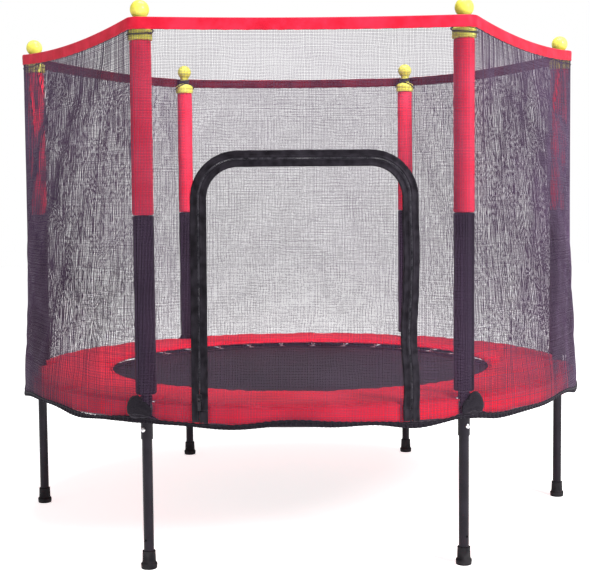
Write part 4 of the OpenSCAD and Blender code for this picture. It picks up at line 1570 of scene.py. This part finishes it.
def slab(outline, low, high, axis, edge=0.0003, hole=None):
    """A flat shape of the outline's thickness from low to high along an axis, with rounded edges."""
    shape = bmesh.new()
    turn = {"Y": lambda u, v, w: (u, w, v), "X": lambda u, v, w: (w, u, v)}[axis]
    loops = [outline] + ([hole] if hole else [])
    near = [[shape.verts.new(turn(u, v, low)) for u, v in loop] for loop in loops]
    far = [[shape.verts.new(turn(u, v, high)) for u, v in loop] for loop in loops]
    for lower, upper in zip(near, far):
        for k in range(len(lower)):
            n = (k + 1) % len(lower)
            shape.faces.new((lower[k], lower[n], upper[n], upper[k]))
    for rims in (near, far):
        if hole:
            for k in range(len(rims[0])):
                n = (k + 1) % len(rims[0])
                shape.faces.new((rims[0][k], rims[0][n], rims[1][n], rims[1][k]))
        else:
            shape.faces.new(rims[0])
    bmesh.ops.recalc_face_normals(shape, faces=shape.faces)
    sharp = [e for e in shape.edges if len(e.link_faces) == 2 and e.calc_face_angle(0) > 0.6]
    bmesh.ops.bevel(shape, geom=sharp, offset=edge, segments=2, affect="EDGES", clamp_overlap=True)
    return shape


def assembled(name, shapes, place):
    """One piece from several closed shapes, put at a place."""
    mesh = bpy.data.meshes.new(name)
    whole = bmesh.new()
    for shape in shapes:
        part = bpy.data.meshes.new("part")
        shape.to_mesh(part)
        whole.from_mesh(part)
        bpy.data.meshes.remove(part)
        shape.free()
    whole.transform(place)
    bmesh.ops.recalc_face_normals(whole, faces=whole.faces)
    whole.to_mesh(mesh)
    whole.free()
    mesh.polygons.foreach_set("use_smooth", [False] * len(mesh.polygons))
    piece = bpy.data.objects.new(name, mesh)
    scene.collection.objects.link(piece)
    give(piece, zip_metal)
    return piece


PLATE_TAIL, PLATE_NOSE, SHOULDER_Z, PLATE_EDGE = 0.0044, 0.0052, 0.0062, 0.00035
SHOULDER = (SLIDER_W / 2, SHOULDER_Z)
front_plate = slab(
    rounded_loop([
        (-PLATE_TAIL, 0), (PLATE_TAIL, 0), SHOULDER, (PLATE_NOSE, SLIDER_L), (-PLATE_NOSE, SLIDER_L),
        (-SHOULDER[0], SHOULDER_Z),
    ], 0.0012),
    FRONT_Y, FRONT_Y + PLATE_T, "Y", PLATE_EDGE,
)
back_plate = slab(
    rounded_loop([
        (-PLATE_TAIL, 0), (BRIDGE_W / 2, 0), (BRIDGE_W / 2, SLIDER_L), (-PLATE_NOSE, SLIDER_L),
        (-SHOULDER[0], SHOULDER_Z),
    ], 0.0006),
    BACK_Y, BACK_Y + PLATE_T, "Y", PLATE_EDGE,
)


def bar(left, right, low, high, rounding, steps):
    """A rounded outline between two sides and two heights."""
    return rounded_loop([(left, low), (right, low), (right, high), (left, high)], rounding, steps)


bridge = slab(
    bar(-BRIDGE_W / 2, BRIDGE_W / 2, SLIDER_L - BRIDGE_L, SLIDER_L, 0.0002, 2),
    BACK_Y + 0.0002, FRONT_Y + PLATE_T - 0.0002, "Y", 0.0001,
)
EYE_STEPS = 28
eye_out = []
for k in range(EYE_STEPS):
    a = tau * k / EYE_STEPS
    u = EYE_H * (0.5 - 0.5 * cos(a)) ** 0.8
    eye_out.append((FRONT_Y + PLATE_T - 0.0002 + u, PIN_Z + EYE_L / 2 * sin(a)))
HOLE_R = PIN_R + 0.0003
eye_hole = [
    (FRONT_Y + PLATE_T + PIN_OFF - HOLE_R * cos(a), PIN_Z + HOLE_R * sin(a))
    for a in (tau * k / EYE_STEPS for k in range(EYE_STEPS))
]
eye = slab(eye_out, -EYE_W / 2, EYE_W / 2, "X", 0.0002, eye_hole)
slider = assembled("slider_body", [front_plate, back_plate, bridge, eye], AT_SLIDER)
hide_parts("zip_slider")
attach(slider, "slider")

HALF_W = EYE_W / 2 + 0.0004 + ARM_W
GRIP_TOP, GRIP_HALF = 0.0004 - ARM_L, HALF_W * 0.92
RIB_HALF, RIB_H, RIB_LOW, RIB_PITCH, RIBS, PIN_SIDES = HALF_W * 0.62, 0.0009, -0.0235, 0.002, 5, 24
grip = slab(
    rounded_loop(
        [(-HALF_W, GRIP_TOP), (-GRIP_HALF, -PULL_L), (GRIP_HALF, -PULL_L), (HALF_W, GRIP_TOP)], 0.0016, 6
    ),
    -PULL_T / 2, PULL_T / 2, "Y", 0.0003,
)
arms = [
    slab(bar(low, low + ARM_W, -ARM_L, 0.0009, 0.0004, 3), -PULL_T / 2, PULL_T / 2, "Y", 0.0002)
    for low in (-HALF_W, HALF_W - ARM_W)
]
pin_line = [
    (PIN_R * sin(a), -PIN_R * cos(a)) for a in (tau * k / PIN_SIDES for k in range(PIN_SIDES))
]
pin = slab(pin_line, -HALF_W, HALF_W, "X", 0.0001)
grip_ribs = [
    slab(
        bar(-RIB_HALF, RIB_HALF, z, z + RIB_H, 0.0003, 2),
        PULL_T / 2 - 0.0001, PULL_T / 2 + 0.0003, "Y", 0.0001,
    )
    for z in (RIB_LOW + RIB_PITCH * k for k in range(RIBS))
]
pull = assembled("pull_tab", [grip, *arms, pin, *grip_ribs], AT_PIN)
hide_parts("zip_pull")
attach(pull, "pull")
